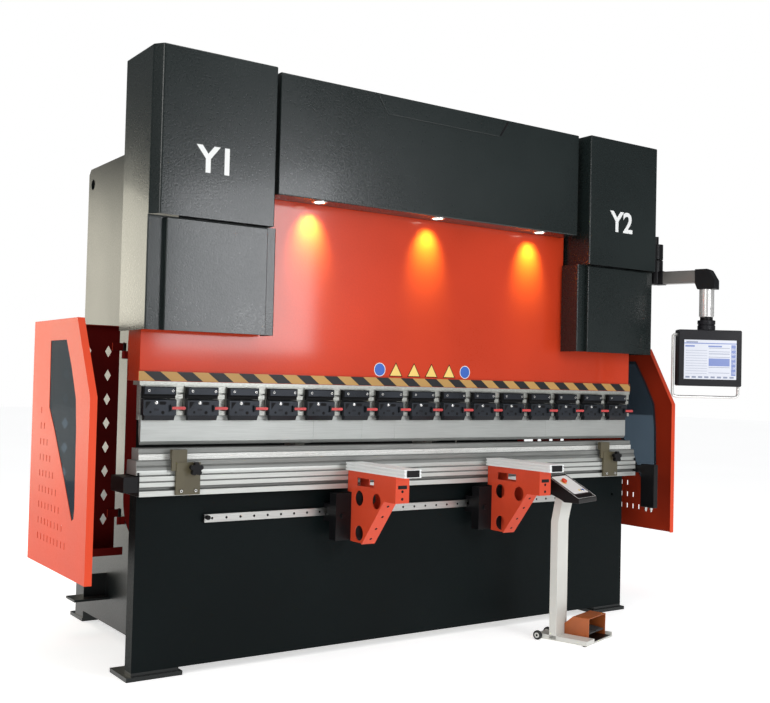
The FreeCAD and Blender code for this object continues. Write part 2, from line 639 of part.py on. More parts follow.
def support_bracket(x):
    """Orange gusset bracket with its carriage on the bed rail."""
    y_table = TABLE_FRONT_Y - 4
    outline = [(y_table, BEAM_BOTTOM), (y_table, 831), (-122.0, 831), (-122.0, 585), (-218.0, 585),
               (-406.0, 817), (-500.0, 817), (-500.0, BEAM_BOTTOM)]
    web = prism_x(outline, x, x + 6)
    holes = [rod(x - 1, -191, 806, 38, 8, (1, 0, 0)), rod(x - 1, -344, 806, 38, 8, (1, 0, 0)),
             rod(x - 1, -196, 633, 38, 8, (1, 0, 0)),
             box(x - 1, x + 7, -320, -168, 868, 908)]
    web = cut(web, *holes)
    slope = prism_x([(-218.0, 585), (-406.0, 817), (-411.0, 812), (-223.0, 580)], x, x + SUPPORT_WIDTH)
    under = prism_x([(-406.0, 817), (-500.0, 817), (-500.0, 811), (-408.0, 811)], x, x + SUPPORT_WIDTH)
    front = box(x, x + SUPPORT_WIDTH, -506, -500, 811, BEAM_BOTTOM)
    far_web = cut(prism_x(outline, x + SUPPORT_WIDTH - 6, x + SUPPORT_WIDTH),
                  *[h.translated(Vec(SUPPORT_WIDTH - 6, 0, 0)) for h in holes])
    bracket = fused(web, slope, under, front, far_web)
    half = GUIDE_HEIGHT / 2
    shoe = box(x - 90, x + SUPPORT_WIDTH, -60, 0, GUIDE_Z - 44, GUIDE_Z + 44)
    groove = box(x - 100, x + SUPPORT_WIDTH + 10, GUIDE_FRONT_Y - 0.6, 6, GUIDE_Z - half - 0.6,
                 GUIDE_Z + half + 0.6)
    relief = box(x - 100, x + SUPPORT_WIDTH + 10, -36, 6, GUIDE_Z - 8, GUIDE_Z + 18)
    column = box(x - 90, x + SUPPORT_WIDTH, -122, -60, 590, 826)
    lock = rod(x - 50, -134, 712, 12, 12, (0, 1, 0))
    shoe = cut(fused(shoe, column, lock), groove, relief)
    return [bracket, shoe]


def support_beam(x):
    x0 = x - 20
    beam = box(x0, x0 + BEAM_WIDTH, BEAM_FRONT_Y, BEAM_BACK_Y, BEAM_BOTTOM, BEAM_TOP)
    grooves = []
    for z in (BEAM_BOTTOM + 13, BEAM_BOTTOM + 29):
        grooves.append(box(x0 - 1, x0 + 5, BEAM_FRONT_Y - 1, BEAM_BACK_Y + 1, z - 3, z + 3))
        grooves.append(box(x0 + BEAM_WIDTH - 5, x0 + BEAM_WIDTH + 1, BEAM_FRONT_Y - 1,
                           BEAM_BACK_Y + 1, z - 3, z + 3))
    beam = cut(beam, *grooves)
    cap = box(x0 + 14, x0 + BEAM_WIDTH - 14, BEAM_FRONT_Y - 4, BEAM_FRONT_Y, BEAM_BOTTOM + 4, BEAM_TOP - 4)
    return [beam, cap]


for side, x_web in SUPPORT_X.items():
    add("support_bracket_" + side, *support_bracket(x_web))
    add("support_beam_" + side, *support_beam(x_web))

# ---------------------------------------------------------------- back gauge

add("gauge_rails", *[box(s * 700 - 40, s * 700 + 40, BED_BACK_Y, 1150, 770, 850) for s in (-1, 1)])


def gauge_beam():
    beam = box(-1250, 1250, 560, 640, 880, 960)
    shoes = [box(s * 700 - 60, s * 700 + 60, 540, 660, 850.5, 880) for s in (-1, 1)]
    return fused(beam, *shoes)


def gauge_finger(x):
    post = box(x - 30, x + 30, 520, 640, 960, 1040)
    blade = prism_x([(640.0, 1040), (640.0, 1075), (300.0, 1092), (300.0, 1062), (480.0, 1040)],
                    x - 22, x + 22)
    return fused(post, blade)


add("gauge_beam", gauge_beam())
add("gauge_fingers", gauge_finger(-450), gauge_finger(450))

# ---------------------------------------------------------------- pendant


def pendant_mount():
    x, y = PENDANT_PIVOT
    plate = box(HOUSING_OUTER_X, HOUSING_OUTER_X + 8, y - 40, y + 40, 2205, 2390)
    upper = rod(x, y, 2203, 46, 95)
    neck = box(HOUSING_OUTER_X + 8, x, y - 30, y + 30, 2203, 2298)
    gusset = prism_y([(HOUSING_OUTER_X + 8, 2298), (x + 10, 2298), (HOUSING_OUTER_X + 8, 2385)],
                     y - 12, y + 12)
    boss = rod(x - 6, y, 2298, 22, 50)
    spindle = rod(x, y, 2150, 20, 53)
    return fused(plate, upper, neck, gusset, boss, spindle)


add("pendant_mount", pendant_mount())


def pendant_arm():
    px, py = PENDANT_PIVOT
    tx, ty = PENDANT_TUBE
    length = math.hypot(tx - px, ty - py)
    angle = math.degrees(math.atan2(ty - py, tx - px))
    z0 = ARM_TOP - ARM_HEIGHT
    knuckle = cut(rod(px, py, z0, 46, 2200 - z0), rod(px, py, 2146, 20.5, 60))
    profile = turned(box(px + 20, px + length - 30, py - 30, py + 30, z0, ARM_TOP), angle, px, py)
    collar = turned(box(px, px + 60, py - 34, py + 34, z0 - 3, ARM_TOP + 3), angle, px, py)
    elbow_side = [(-62.0, ARM_TOP + 3), (20.0, ARM_TOP + 3), (62.0, ARM_TOP - 62),
                  (62.0, 2005), (-46.0, 2005), (-62.0, z0 - 3)]
    elbow = prism_y([(px + length + a, z) for a, z in elbow_side], py - 42, py + 42)
    elbow = turned(elbow, angle, px, py)
    tube = rod(tx, ty, 1834, 44, 2005 - 1834)
    neck = rod(tx, ty, 1815.6, 38, 1834 - 1815.6)
    return fused(knuckle, profile, collar, elbow, tube, neck)


add("pendant_arm", pendant_arm())


def control_panel():
    """Screen unit on its swivel, with the tubular handle along its left and lower edge."""
    tx, ty = PENDANT_TUBE
    swivel = rod(tx, ty, PANEL_TOP, 53, 59)
    x0 = tx - PANEL_WIDTH / 2 + 15
    x1 = x0 + PANEL_WIDTH
    y0 = ty - PANEL_DEPTH / 2
    y1 = ty + PANEL_DEPTH / 2
    z0 = PANEL_TOP - PANEL_HEIGHT
    case = box(x0, x1, y0, y1, z0, PANEL_TOP)
    screen = box(x0 + 34, x1 - 34, y0 - 1.5, y0, z0 + 42, PANEL_TOP - 62)
    r = 9.0
    grip_y = ty + 6
    left = rod(x0 - 22, grip_y, z0 - 66, r, PANEL_HEIGHT + 70)
    right = rod(x1 - 8, grip_y, z0 - 66, r, 70)
    knob = Part.makeSphere(r, Vec(x0 - 22, grip_y, z0 - 66))
    knob_right = Part.makeSphere(r, Vec(x1 - 8, grip_y, z0 - 66))
    foot = rod(x0 - 22, grip_y, z0 - 66, r, x1 - 8 - (x0 - 22), (1, 0, 0))
    lug = box(x0 - 22, x0 + 4, grip_y - r, grip_y + r, PANEL_TOP - 40, PANEL_TOP - 20)
    unit = fused(case, screen, swivel, left, foot, right, knob, knob_right, lug)
    return turned(unit, PANEL_TURN, tx, ty)


add("control_panel", control_panel())

# ---------------------------------------------------------------- pedestal


def on_pedestal(shape):
    """Pedestal pieces are drawn with the base's front left corner at the origin."""
    moved = shape.copy()
    moved.translate(Vec(PEDESTAL_CORNER[0], PEDESTAL_CORNER[1], 0))
    return turned(moved, PEDESTAL_TURN, *PEDESTAL_CORNER)


WHEEL_R = 25.0
BASE_Z = 8.0
BASE_TOP = 34.0
COLUMN_WIDTH = 121.0
COLUMN_FRONT = 185.0
COLUMN_BACK = 228.0
COLUMN_BEND_Z = 650.0


def pedestal_stand():
    rail = box(0, 92, 0, BASE_DEPTH, BASE_Z, BASE_TOP)
    tray = box(92, BASE_WIDTH, 0, BASE_DEPTH - 40, BASE_Z, BASE_Z + 8)
    lip = box(BASE_WIDTH - 6, BASE_WIDTH, 0, BASE_DEPTH - 40, BASE_Z, BASE_TOP)
    pads = [rod(24, 24, 0, 12, BASE_Z), rod(BASE_WIDTH - 24, 24, 0, 12, BASE_Z),
            rod(BASE_WIDTH - 24, BASE_DEPTH - 64, 0, 12, BASE_Z)]
    lower = box(0, COLUMN_WIDTH, COLUMN_FRONT, COLUMN_BACK, BASE_Z + 4, COLUMN_BEND_Z)
    upper = prism_x([(COLUMN_FRONT, COLUMN_BEND_Z), (COLUMN_BACK, COLUMN_BEND_Z), (200, 805.1),
                     (188, 800), (157, 787.6)], 0, COLUMN_WIDTH)
    axle = rod(-24, BASE_DEPTH - 6, WHEEL_R, 5, 142, (1, 0, 0))
    fork = box(4, 88, BASE_DEPTH - 1, BASE_DEPTH + 6, BASE_Z + 4, BASE_TOP)
    return on_pedestal(fused(rail, tray, lip, *pads, lower, upper, fork, axle))


def pedestal_wheel(x0):
    tyre = rod(x0, BASE_DEPTH - 6, WHEEL_R, WHEEL_R, 18, (1, 0, 0))
    bore = rod(x0 - 1, BASE_DEPTH - 6, WHEEL_R, 5.4, 20, (1, 0, 0))
    return on_pedestal(cut(tyre, bore))


def console():
    """Wedge-shaped button box on the column."""
    body = prism_x([(230.0, CONSOLE_TOP), (32.0, 792), (32.0, 768), (120.0, 768), (138.0, 780),
                    (188.0, 800), (230.0, 818)], -62, 152)
    base, axis = button_seat()
    well = Part.makeCylinder(10, 14, base - axis * 12.0, axis)
    return on_pedestal(cut(body, well))


def button_seat():
    """Where the button's axis meets the sloping face, and the axis itself."""
    rise = CONSOLE_TOP - 792
    run = 198.0
    y = 165.0
    tilt = math.atan2(rise, run)
    return Vec(14, y, 792 + (y - 32) * rise / run), Vec(0, -math.sin(tilt), math.cos(tilt))


def emergency_button():
    """Mushroom head standing on the console's sloping face."""
    base, axis = button_seat()
    head = Part.makeCylinder(16, 12, base + axis * 7.0, axis)
    stem = Part.makeCylinder(9, 9, base - axis * 2.0, axis)
    return on_pedestal(fused(head, stem))


GUARD_TOP_Z = 134.0
GUARD_FRONT = 36.0


def foot_guard():
    """Hood over the two pedals, open at the front."""
    outer = prism_x([(GUARD_FRONT + 2, BASE_TOP), (GUARD_FRONT, GUARD_TOP_Z), (132, GUARD_TOP_Z),
                     (219, 60), (219, BASE_Z + 8), (GUARD_FRONT + 2, BASE_Z + 8)], 94, 300)
    inner = prism_x([(30, BASE_Z + 7), (30, GUARD_TOP_Z - 4), (130, GUARD_TOP_Z - 4), (215, 58),
                     (215, BASE_Z + 7)], 98, 296)
    notch = box(90, COLUMN_WIDTH + 1, COLUMN_FRONT - 1, COLUMN_BACK, BASE_Z, GUARD_TOP_Z)
    return on_pedestal(cut(outer, inner, notch))


def foot_pedal(x0):
    plate = prism_x([(44.0, 46), (44.0, 52), (170.0, 66), (170.0, 60)], x0, x0 + 84)
    hinge = rod(x0, 176, 60, 7, 84, (1, 0, 0))
    return on_pedestal(fused(plate, hinge, box(x0, x0 + 84, 166, 176, 56, 66)))


def pedal_block():
    """Switch housing behind the pedals, screwed to the tray."""
    return on_pedestal(box(COLUMN_WIDTH + 3, 290, 188, 213, BASE_Z + 8, 58))


add("pedestal_stand", pedestal_stand(), pedal_block())
add("pedestal_wheels", pedestal_wheel(-20), pedestal_wheel(96))
add("pedestal_console", console())
add("emergency_button", emergency_button())
add("foot_guard", foot_guard())
add("foot_pedal_left", foot_pedal(108))
add("foot_pedal_right", foot_pedal(202))

# ---------------------------------------------------------------- export

os.makedirs("parts", exist_ok=True)
for name, shape in nodes.items():
    placed = shape.copy()
    placed.translate(Vec(0, -ANCHOR_CENTRE_Y, 0))
    placed.exportStep("parts/%s.step" % name)
print(len(nodes), "nodes")
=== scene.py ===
import json
import math

import bmesh
import bpy
from bpy.props import FloatProperty, FloatVectorProperty, PointerProperty
from bpy.types import Operator, Panel, PropertyGroup
from mathutils import Matrix, Vector


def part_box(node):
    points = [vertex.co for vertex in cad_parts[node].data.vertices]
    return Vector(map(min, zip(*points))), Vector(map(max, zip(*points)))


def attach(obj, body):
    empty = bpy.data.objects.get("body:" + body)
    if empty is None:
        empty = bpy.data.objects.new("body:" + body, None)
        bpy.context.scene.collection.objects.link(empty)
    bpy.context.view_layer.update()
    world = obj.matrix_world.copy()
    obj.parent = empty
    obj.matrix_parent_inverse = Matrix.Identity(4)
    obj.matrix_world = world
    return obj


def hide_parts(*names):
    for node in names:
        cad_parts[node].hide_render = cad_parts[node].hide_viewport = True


bl_info = {
    "name": "Press Brake",
    "version": (1, 0, 0),
    "blender": (4, 5, 0),
    "location": "View3D > Sidebar > Press Brake",
    "description": "Builds the painted sheet, tooling and trim of a press brake on its packed frame",
    "category": "Object",
}

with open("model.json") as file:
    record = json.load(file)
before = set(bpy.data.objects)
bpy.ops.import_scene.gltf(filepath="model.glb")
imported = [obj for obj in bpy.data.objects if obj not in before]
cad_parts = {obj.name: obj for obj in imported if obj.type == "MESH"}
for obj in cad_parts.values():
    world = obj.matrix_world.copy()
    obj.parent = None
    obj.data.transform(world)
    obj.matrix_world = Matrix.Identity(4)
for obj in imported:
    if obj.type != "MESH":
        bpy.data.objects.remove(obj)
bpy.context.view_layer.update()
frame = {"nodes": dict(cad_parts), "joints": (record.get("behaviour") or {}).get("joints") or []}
NODES = frame["nodes"]
MM = 0.001
BED_SETBACK = 6.0
BEND_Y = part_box("bed")[0].y / MM - BED_SETBACK
SIDES = {"left": -1, "right": 1}
FORWARD, UPWARD, DOWNWARD, SIDEWAYS = (0, -1, 0), (0, 0, 1), (0, 0, -1), (1, 0, 0)
WELD_GAP = 2e-5  # metres between corners that are joined
FLAT_ANGLE = math.radians(0.6)  # faces this close to flat become one
CREASE_ANGLE = math.radians(32.0)  # sharper edges are broken
CORNER_STEPS = 5
SHEET_GAUGE = 3.0
COVER_BACK = -32.0  # y where the covers' returns end
LAMP_PITCH = 742.0
LAMP_Y = -115.0
LAMP_LIFT = 5.0  # the beam cover's underside above its lamps' lowest point


# ------------------------------------------------------------------ shop tools

def span(node):
    """A fixed part's limits x0, x1, y0, y1, z0, z1 in millimetres, y from the bend plane."""
    low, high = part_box(node)
    x0, y0, z0 = (v / MM for v in low)
    x1, y1, z1 = (v / MM for v in high)
    return x0, x1, y0 - BEND_Y, y1 - BEND_Y, z0, z1


def pivot(joint):
    """Where a joint stands, in millimetres, y from the bend plane."""
    found = next(j for j in frame["joints"] if j["name"] == joint)
    x, y, z = (v / MM for v in found["pos_m"])
    return Vector((x, y - BEND_Y, z))


class Bench:
    """Collects one piece's faces in millimetres: x to the right, y back from the bend plane, z up."""

    def __init__(self, spot=None):
        self.bm = bmesh.new()
        self.spot = spot or Matrix()

    @classmethod
    def of(cls, node):
        """A bench that starts with a copy of a fixed part, flat faces made whole again."""
        bench = cls()
        bench.bm.from_mesh(NODES[node].data)
        bmesh.ops.remove_doubles(bench.bm, verts=bench.bm.verts, dist=WELD_GAP)
        bmesh.ops.dissolve_limit(bench.bm, angle_limit=FLAT_ANGLE, verts=bench.bm.verts,
                                 edges=bench.bm.edges)
        to_bench = Matrix.Translation((0, -BEND_Y, 0)) @ Matrix.Scale(1 / MM, 4)
        bench.bm.transform(to_bench)
        for face in bench.bm.faces:
            face.material_index = 0
        return bench

    def skin(self, points, rings, finish=0):
        """Faces from lists of corner numbers over new points."""
        verts = [self.bm.verts.new(self.spot @ Vector(p)) for p in points]
        faces = [self.bm.faces.new([verts[i] for i in ring]) for ring in rings]
        for face in faces:
            face.material_index = finish
        return faces

    def prism(self, outline, axis, a, b, finish=0):
        """A flat outline carried along an axis from a to b, closed at both ends."""
        lay = {"x": lambda p, t: (t, p[0], p[1]), "y": lambda p, t: (p[0], t, p[1]),
               "z": lambda p, t: (p[0], p[1], t)}[axis]
        n = len(outline)
        points = [lay(p, t) for t in (a, b) for p in outline]
        rings = [(i, (i + 1) % n, n + (i + 1) % n, n + i) for i in range(n)]
        rings += [tuple(range(n)), tuple(range(2 * n - 1, n - 1, -1))]
        return self.skin(points, rings, finish)

    def block(self, x0, x1, y0, y1, z0, z1, finish=0):
        """A square-cornered box."""
        return self.prism([(x0, y0), (x1, y0), (x1, y1), (x0, y1)], "z", z0, z1, finish)

    def slab(self, x0, x1, y0, y1, z0, z1, radius, axis="y", finish=0):
        """A plate with rounded corners, its thickness along the axis."""
        a0, a1, b0, b1, t0, t1 = {"x": (y0, y1, z0, z1, x0, x1), "y": (x0, x1, z0, z1, y0, y1),
                                  "z": (x0, x1, y0, y1, z0, z1)}[axis]
        return self.prism(rounded(a0, a1, b0, b1, radius), axis, t0, t1, finish)

    def turn(self, centre, axis, profile, finish=0, sides=32):
        """Revolves (radius, height) pairs about a line through centre."""
        line = Vector(axis).normalized()
        across = line.orthogonal().normalized()
        other = line.cross(across)
        base = Vector(centre)
        points, rows = [], []
        for radius, height in profile:
            if radius == 0:
                rows.append([len(points)] * sides)
                points.append(base + line * height)
                continue
            rows.append([len(points) + i for i in range(sides)])
            for i in range(sides):
                a = math.tau * i / sides
                points.append(base + line * height
                              + (across * math.cos(a) + other * math.sin(a)) * radius)
        rings = []
        for low, high in zip(rows, rows[1:]):
            for i in range(sides):
                j = (i + 1) % sides
                ring = list(dict.fromkeys((low[i], low[j], high[j], high[i])))
                if len(ring) > 2:
                    rings.append(ring)
        for row in (rows[0], rows[-1]):
            if len(set(row)) > 2:
                rings.append(row)
        return self.skin(points, rings, finish)

    def pipe(self, path, radius, finish=0, sides=16):
        """A round bar that follows corner points, each corner mitred."""
        corners = [Vector(p) for p in path]
        points, count = [], len(corners)
        side = None
        for i, corner in enumerate(corners):
            before = (corner - corners[i - 1]).normalized() if i else None
            after = (corners[i + 1] - corner).normalized() if i < count - 1 else None
            along = ((before or after) + (after or before)).normalized()
            side = along.orthogonal().normalized() if side is None else (
                side - along * side.dot(along)).normalized()
            up = along.cross(side)
            girth = radius / math.sqrt(max(0.5, along.dot(before or after)))
            for k in range(sides):
                a = math.tau * k / sides
                points.append(corner + (side * math.cos(a) + up * math.sin(a)) * girth)
        rings = [(r * sides + k, r * sides + (k + 1) % sides,
                  (r + 1) * sides + (k + 1) % sides, (r + 1) * sides + k)
                 for r in range(count - 1) for k in range(sides)]
        rings += [tuple(range(sides)), tuple(range((count - 1) * sides, count * sides))]
        return self.skin(points, rings, finish)

    def paint(self, rule):
        """Gives each face the finish number that rule(centre, normal) returns."""
        for face in self.bm.faces:
            face.material_index = rule(face.calc_center_median(), face.normal)
        return self

    def finish(self, name, body, finishes, slot, stands_for=(), bevel=0.0, segments=2,
               folded_sheet=False):
        """Makes the piece, breaks its edges and hands it to its body."""
        bmesh.ops.recalc_face_normals(self.bm, faces=self.bm.faces)
        for edge in self.bm.edges:
            edge.smooth = edge.calc_face_angle(0.0) < CREASE_ANGLE
        for face in self.bm.faces:
            face.smooth = True
        to_frame = Matrix.Scale(MM, 4) @ Matrix.Translation((0, BEND_Y, 0))
        self.bm.transform(to_frame)
        mesh = bpy.data.meshes.new(name)
        self.bm.to_mesh(mesh)
        self.bm.free()
        for finish in finishes:
            mesh.materials.append(FINISHES[finish])
        piece = bpy.data.objects.new(name, mesh)
        bpy.context.scene.collection.objects.link(piece)
        if bevel:
            cut = piece.modifiers.new("Broken edges", "BEVEL")
            cut.width = bevel * MM
            cut.segments = segments
            cut.limit_method = "ANGLE"
            cut.angle_limit = CREASE_ANGLE
            cut.harden_normals = True
        if folded_sheet:
            gauge = piece.modifiers.new("Sheet gauge", "SOLIDIFY")
            gauge.thickness = SHEET_GAUGE * MM
            gauge.offset = -1.0
            flat = piece.modifiers.new("Flat faces", "WEIGHTED_NORMAL")
            flat.keep_sharp = True
        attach(piece, body)
        if stands_for:
            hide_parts(*stands_for)
        return piece


def rounded(a0, a1, b0, b1, radius):
    """A rectangle with round corners, as a list of points."""
    centres = [(a1 - radius, b1 - radius, 0), (a0 + radius, b1 - radius, 90),
               (a0 + radius, b0 + radius, 180), (a1 - radius, b0 + radius, 270)]
    points = []
    for ca, cb, start in centres:
        for k in range(CORNER_STEPS + 1):
            t = math.radians(start + 90 * k / CORNER_STEPS)
            points.append((ca + radius * math.cos(t), cb + radius * math.sin(t)))
    return points


def dressed(node, name, body, finishes, slot, bevel=1.2, rule=None, segments=2):
    """A fixed part with its edges broken and its finish on."""
    bench = Bench.of(node)
    if rule:
        bench.paint(rule)
    return bench.finish(name, body, finishes, slot, [node], bevel, segments)


# ------------------------------------------------------------------ effects

def feed(tree, node, feeds):
    """Fills a node's inputs; a feed is a number, a colour or another node's socket."""
    for key, value in feeds.items():
        if isinstance(value, bpy.types.NodeSocket):
            tree.links.new(value, node.inputs[key])
        else:
            node.inputs[key].default_value = value


def put(tree, kind, feeds=None, **settings):
    """Adds a shader node with its settings and feeds."""
    made = tree.nodes.new(kind)
    for key, value in settings.items():
        setattr(made, key, value)
    feed(tree, made, feeds or {})
    return made


def place_on_object(tree):
    return put(tree, "ShaderNodeTexCoord").outputs["Object"]


def noise(tree, where, scale, detail, roughness=0.5):
    feeds = {"Vector": where, "Scale": scale, "Detail": detail, "Roughness": roughness}
    return put(tree, "ShaderNodeTexNoise", feeds).outputs["Fac"]


def remap(tree, value, low, high, new_low=0.0, new_high=1.0):
    """Stretches the values from low to high over a new range."""
    feeds = {"Value": value, "From Min": low, "From Max": high, "To Min": new_low,
             "To Max": new_high}
    return put(tree, "ShaderNodeMapRange", feeds).outputs["Result"]


def reckon(tree, operation, *values):
    """One step of arithmetic."""
    return put(tree, "ShaderNodeMath", dict(enumerate(values)), operation=operation).outputs[0]


def blend_colours(tree, mask, first, second):
    """Goes from the first colour to the second as the mask rises."""
    first_colour, second_colour, result = 6, 7, 2
    feeds = {"Factor": mask, first_colour: first, second_colour: second}
    return put(tree, "ShaderNodeMix", feeds, data_type="RGBA").outputs[result]


COLOUR, NUMBER, VECTOR = "NodeSocketColor", "NodeSocketFloat", "NodeSocketVector"
EFFECTS = {}
FINISHES = {}


def build_effect(key, name, inputs, outputs, wire):
    """Builds a node group once; wire(tree, given, out) connects it."""
    tree = bpy.data.node_groups.new(name, "ShaderNodeTree")
    for label, kind, default in inputs:
        socket = tree.interface.new_socket(name=label, in_out="INPUT", socket_type=kind)
        socket.default_value = default
    for label, kind in outputs:
        tree.interface.new_socket(name=label, in_out="OUTPUT", socket_type=kind)
    given = tree.nodes.new("NodeGroupInput").outputs
    leave = tree.nodes.new("NodeGroupOutput")
    feed(tree, leave, wire(tree, given))
    EFFECTS[key] = tree


def wire_sprayed_coat(tree, given):
    """Cloudy colour, fine speckle and an orange-peel height."""
    where = place_on_object(tree)
    clouds = noise(tree, where, given["Clouds"], 3.0)
    skin = noise(tree, where, given["Grain"], 2.0, 0.6)
    soft = remap(tree, clouds, 0.35, 0.65)
    speck = remap(tree, skin, 0.3, 0.7, 0.0, 0.35)
    tone = blend_colours(tree, soft, given["Shade"], given["Paint"])
    tone = blend_colours(tree, speck, tone, given["Shade"])
    both = reckon(tree, "ADD", clouds, skin)
    rough = remap(tree, both, 0.7, 1.3, given["Gloss Low"], given["Gloss High"])
    return {"Color": tone, "Roughness": rough, "Height": skin}


def wire_drawn_metal(tree, given):
    """Fine lines along the drawing direction with dull stains over them."""
    where = place_on_object(tree)
    stretched = put(tree, "ShaderNodeVectorMath", {0: where, 1: given["Stretch"]},
                    operation="MULTIPLY").outputs["Vector"]
    lines = noise(tree, stretched, 1.0, 4.0, 0.65)
    stains = noise(tree, where, 4.0, 4.0)
    tone = blend_colours(tree, remap(tree, lines, 0.3, 0.7), given["Shade"], given["Metal"])
    dull = remap(tree, stains, 0.45, 0.75, 0.0, 0.5)
    tone = blend_colours(tree, dull, tone, given["Shade"])
    rough = remap(tree, lines, 0.25, 0.75, given["Gloss Low"], given["Gloss High"])
    return {"Color": tone, "Roughness": rough, "Height": lines}


def wire_dust_fall(tree, given):
    """Patchy dust on faces that look upward."""
    normal = put(tree, "ShaderNodeNewGeometry").outputs["Normal"]
    rise = put(tree, "ShaderNodeSeparateXYZ", {"Vector": normal}).outputs["Z"]
    upward = remap(tree, rise, 0.35, 0.95)
    patch = remap(tree, noise(tree, place_on_object(tree), 9.0, 5.0), 0.35, 0.7)
    mask = reckon(tree, "MULTIPLY", reckon(tree, "MULTIPLY", upward, patch), given["Amount"])
    return {"Color": blend_colours(tree, mask, given["Color"], given["Dust"])}


def build_effects():
    gloss = [("Gloss Low", NUMBER, 0.25), ("Gloss High", NUMBER, 0.4)]
    surface = [("Color", COLOUR), ("Roughness", NUMBER), ("Height", NUMBER)]
    build_effect(
        "coat", "Sprayed coat",
        [("Paint", COLOUR, (0.5, 0.5, 0.5, 1)), ("Shade", COLOUR, (0.4, 0.4, 0.4, 1)),
         ("Grain", NUMBER, 150.0), ("Clouds", NUMBER, 2.0), *gloss], surface, wire_sprayed_coat)
    build_effect(
        "metal", "Drawn metal",
        [("Metal", COLOUR, (0.7, 0.7, 0.7, 1)), ("Shade", COLOUR, (0.5, 0.5, 0.5, 1)),
         ("Stretch", VECTOR, (8.0, 300.0, 300.0)), *gloss], surface, wire_drawn_metal)
    build_effect(
        "dust", "Dust fall",
        [("Color", COLOUR, (0.5, 0.5, 0.5, 1)), ("Dust", COLOUR, (0.5, 0.47, 0.42, 1)),
         ("Amount", NUMBER, 0.2)], surface[:1], wire_dust_fall)


# ------------------------------------------------------------------ finishes

def shader(name, **fixed):
    """A new finish with its surface shader; fixed values sit on the shader's own sockets."""
    finish = bpy.data.materials.new(name)
    finish.use_nodes = True
    tree = finish.node_tree
    surface = tree.nodes["Principled BSDF"]
    feed(tree, surface, {key.replace("_", " "): value for key, value in fixed.items()})
    FINISHES[name] = finish
    return tree, surface


def rgba(colour, factor=1.0):
    """A colour made lighter or darker by a factor, with its alpha."""
    return (*[max(0.0, min(1.0, c * factor)) for c in colour[:3]], 1.0)


def laid_on(tree, effect, feeds):
    """Places a shared effect in a material with the material's own values."""
    return put(tree, "ShaderNodeGroup", feeds, node_tree=EFFECTS[effect]).outputs


def relief(tree, height, distance):
    return put(tree, "ShaderNodeBump", {"Height": height, "Distance": distance}).outputs["Normal"]


def painted(name, colour, shade, gloss, grain, clouds, bump, dust, **fixed):
    """Sprayed or moulded surface with its grain, cloudiness and settled dust."""
    tree, surface = shader(name, **fixed)
    coat = laid_on(tree, "coat", {"Paint": rgba(colour), "Shade": rgba(colour, shade),
                                  "Grain": grain, "Clouds": clouds, "Gloss Low": gloss[0],
                                  "Gloss High": gloss[1]})
    fall = laid_on(tree, "dust", {"Amount": dust, "Color": coat["Color"]})
    feed(tree, surface, {"Base Color": fall["Color"], "Roughness": coat["Roughness"],
                         "Normal": relief(tree, coat["Height"], bump)})


def machined(name, colour, shade, gloss, stretch=(6.0, 420.0, 420.0), metallic=1.0):
    """Bare metal with drawing or grinding lines."""
    tree, surface = shader(name, Metallic=metallic)
    metal = laid_on(tree, "metal", {"Metal": rgba(colour), "Shade": rgba(colour, shade),
                                    "Stretch": stretch, "Gloss Low": gloss[0],
                                    "Gloss High": gloss[1]})
    feed(tree, surface, {"Base Color": metal["Color"], "Roughness": metal["Roughness"],
                         "Normal": relief(tree, metal["Height"], 0.00008)})


def glowing(name, colour, strength):
    """Lit lens or screen; its light varies softly over the face."""
    tree, surface = shader(name, Base_Color=(0.02, 0.02, 0.022, 1), Roughness=0.25,
                           Emission_Strength=strength)
    coat = laid_on(tree, "coat", {"Paint": rgba(colour), "Shade": rgba(colour, 0.92),
                                  "Grain": 40.0})
    feed(tree, surface, {"Emission Color": coat["Color"]})


def striped(name, yellow, black, pitch):
    """Slanting warning bands along x."""
    slant = 1.3
    tree, surface = shader(name, Specular_IOR_Level=0.35)
    axes = put(tree, "ShaderNodeSeparateXYZ", {"Vector": place_on_object(tree)}).outputs
    run = reckon(tree, "MULTIPLY_ADD", axes["Z"], slant, axes["X"])
    part = reckon(tree, "FRACT", reckon(tree, "DIVIDE", run, pitch))
    dark = reckon(tree, "GREATER_THAN", part, 0.5)
    coat = laid_on(tree, "coat", {"Paint": rgba(yellow), "Shade": rgba(yellow, 0.82),
                                  "Grain": 90.0, "Gloss Low": 0.35, "Gloss High": 0.5})
    feed(tree, surface, {"Base Color": blend_colours(tree, dark, coat["Color"], rgba(black)),
                         "Roughness": coat["Roughness"],
                         "Normal": relief(tree, coat["Height"], 0.0001)})


def clear_pane(name, tone, shade):
    """Tinted sheet that lets light through."""
    tree, surface = shader(name, Transmission_Weight=0.7, IOR=1.03)
    coat = laid_on(tree, "coat", {"Paint": rgba(tone), "Shade": rgba(shade), "Gloss Low": 0.04,
                                  "Gloss High": 0.1, "Clouds": 1.0})
    feed(tree, surface, {"Base Color": coat["Color"], "Roughness": coat["Roughness"]})


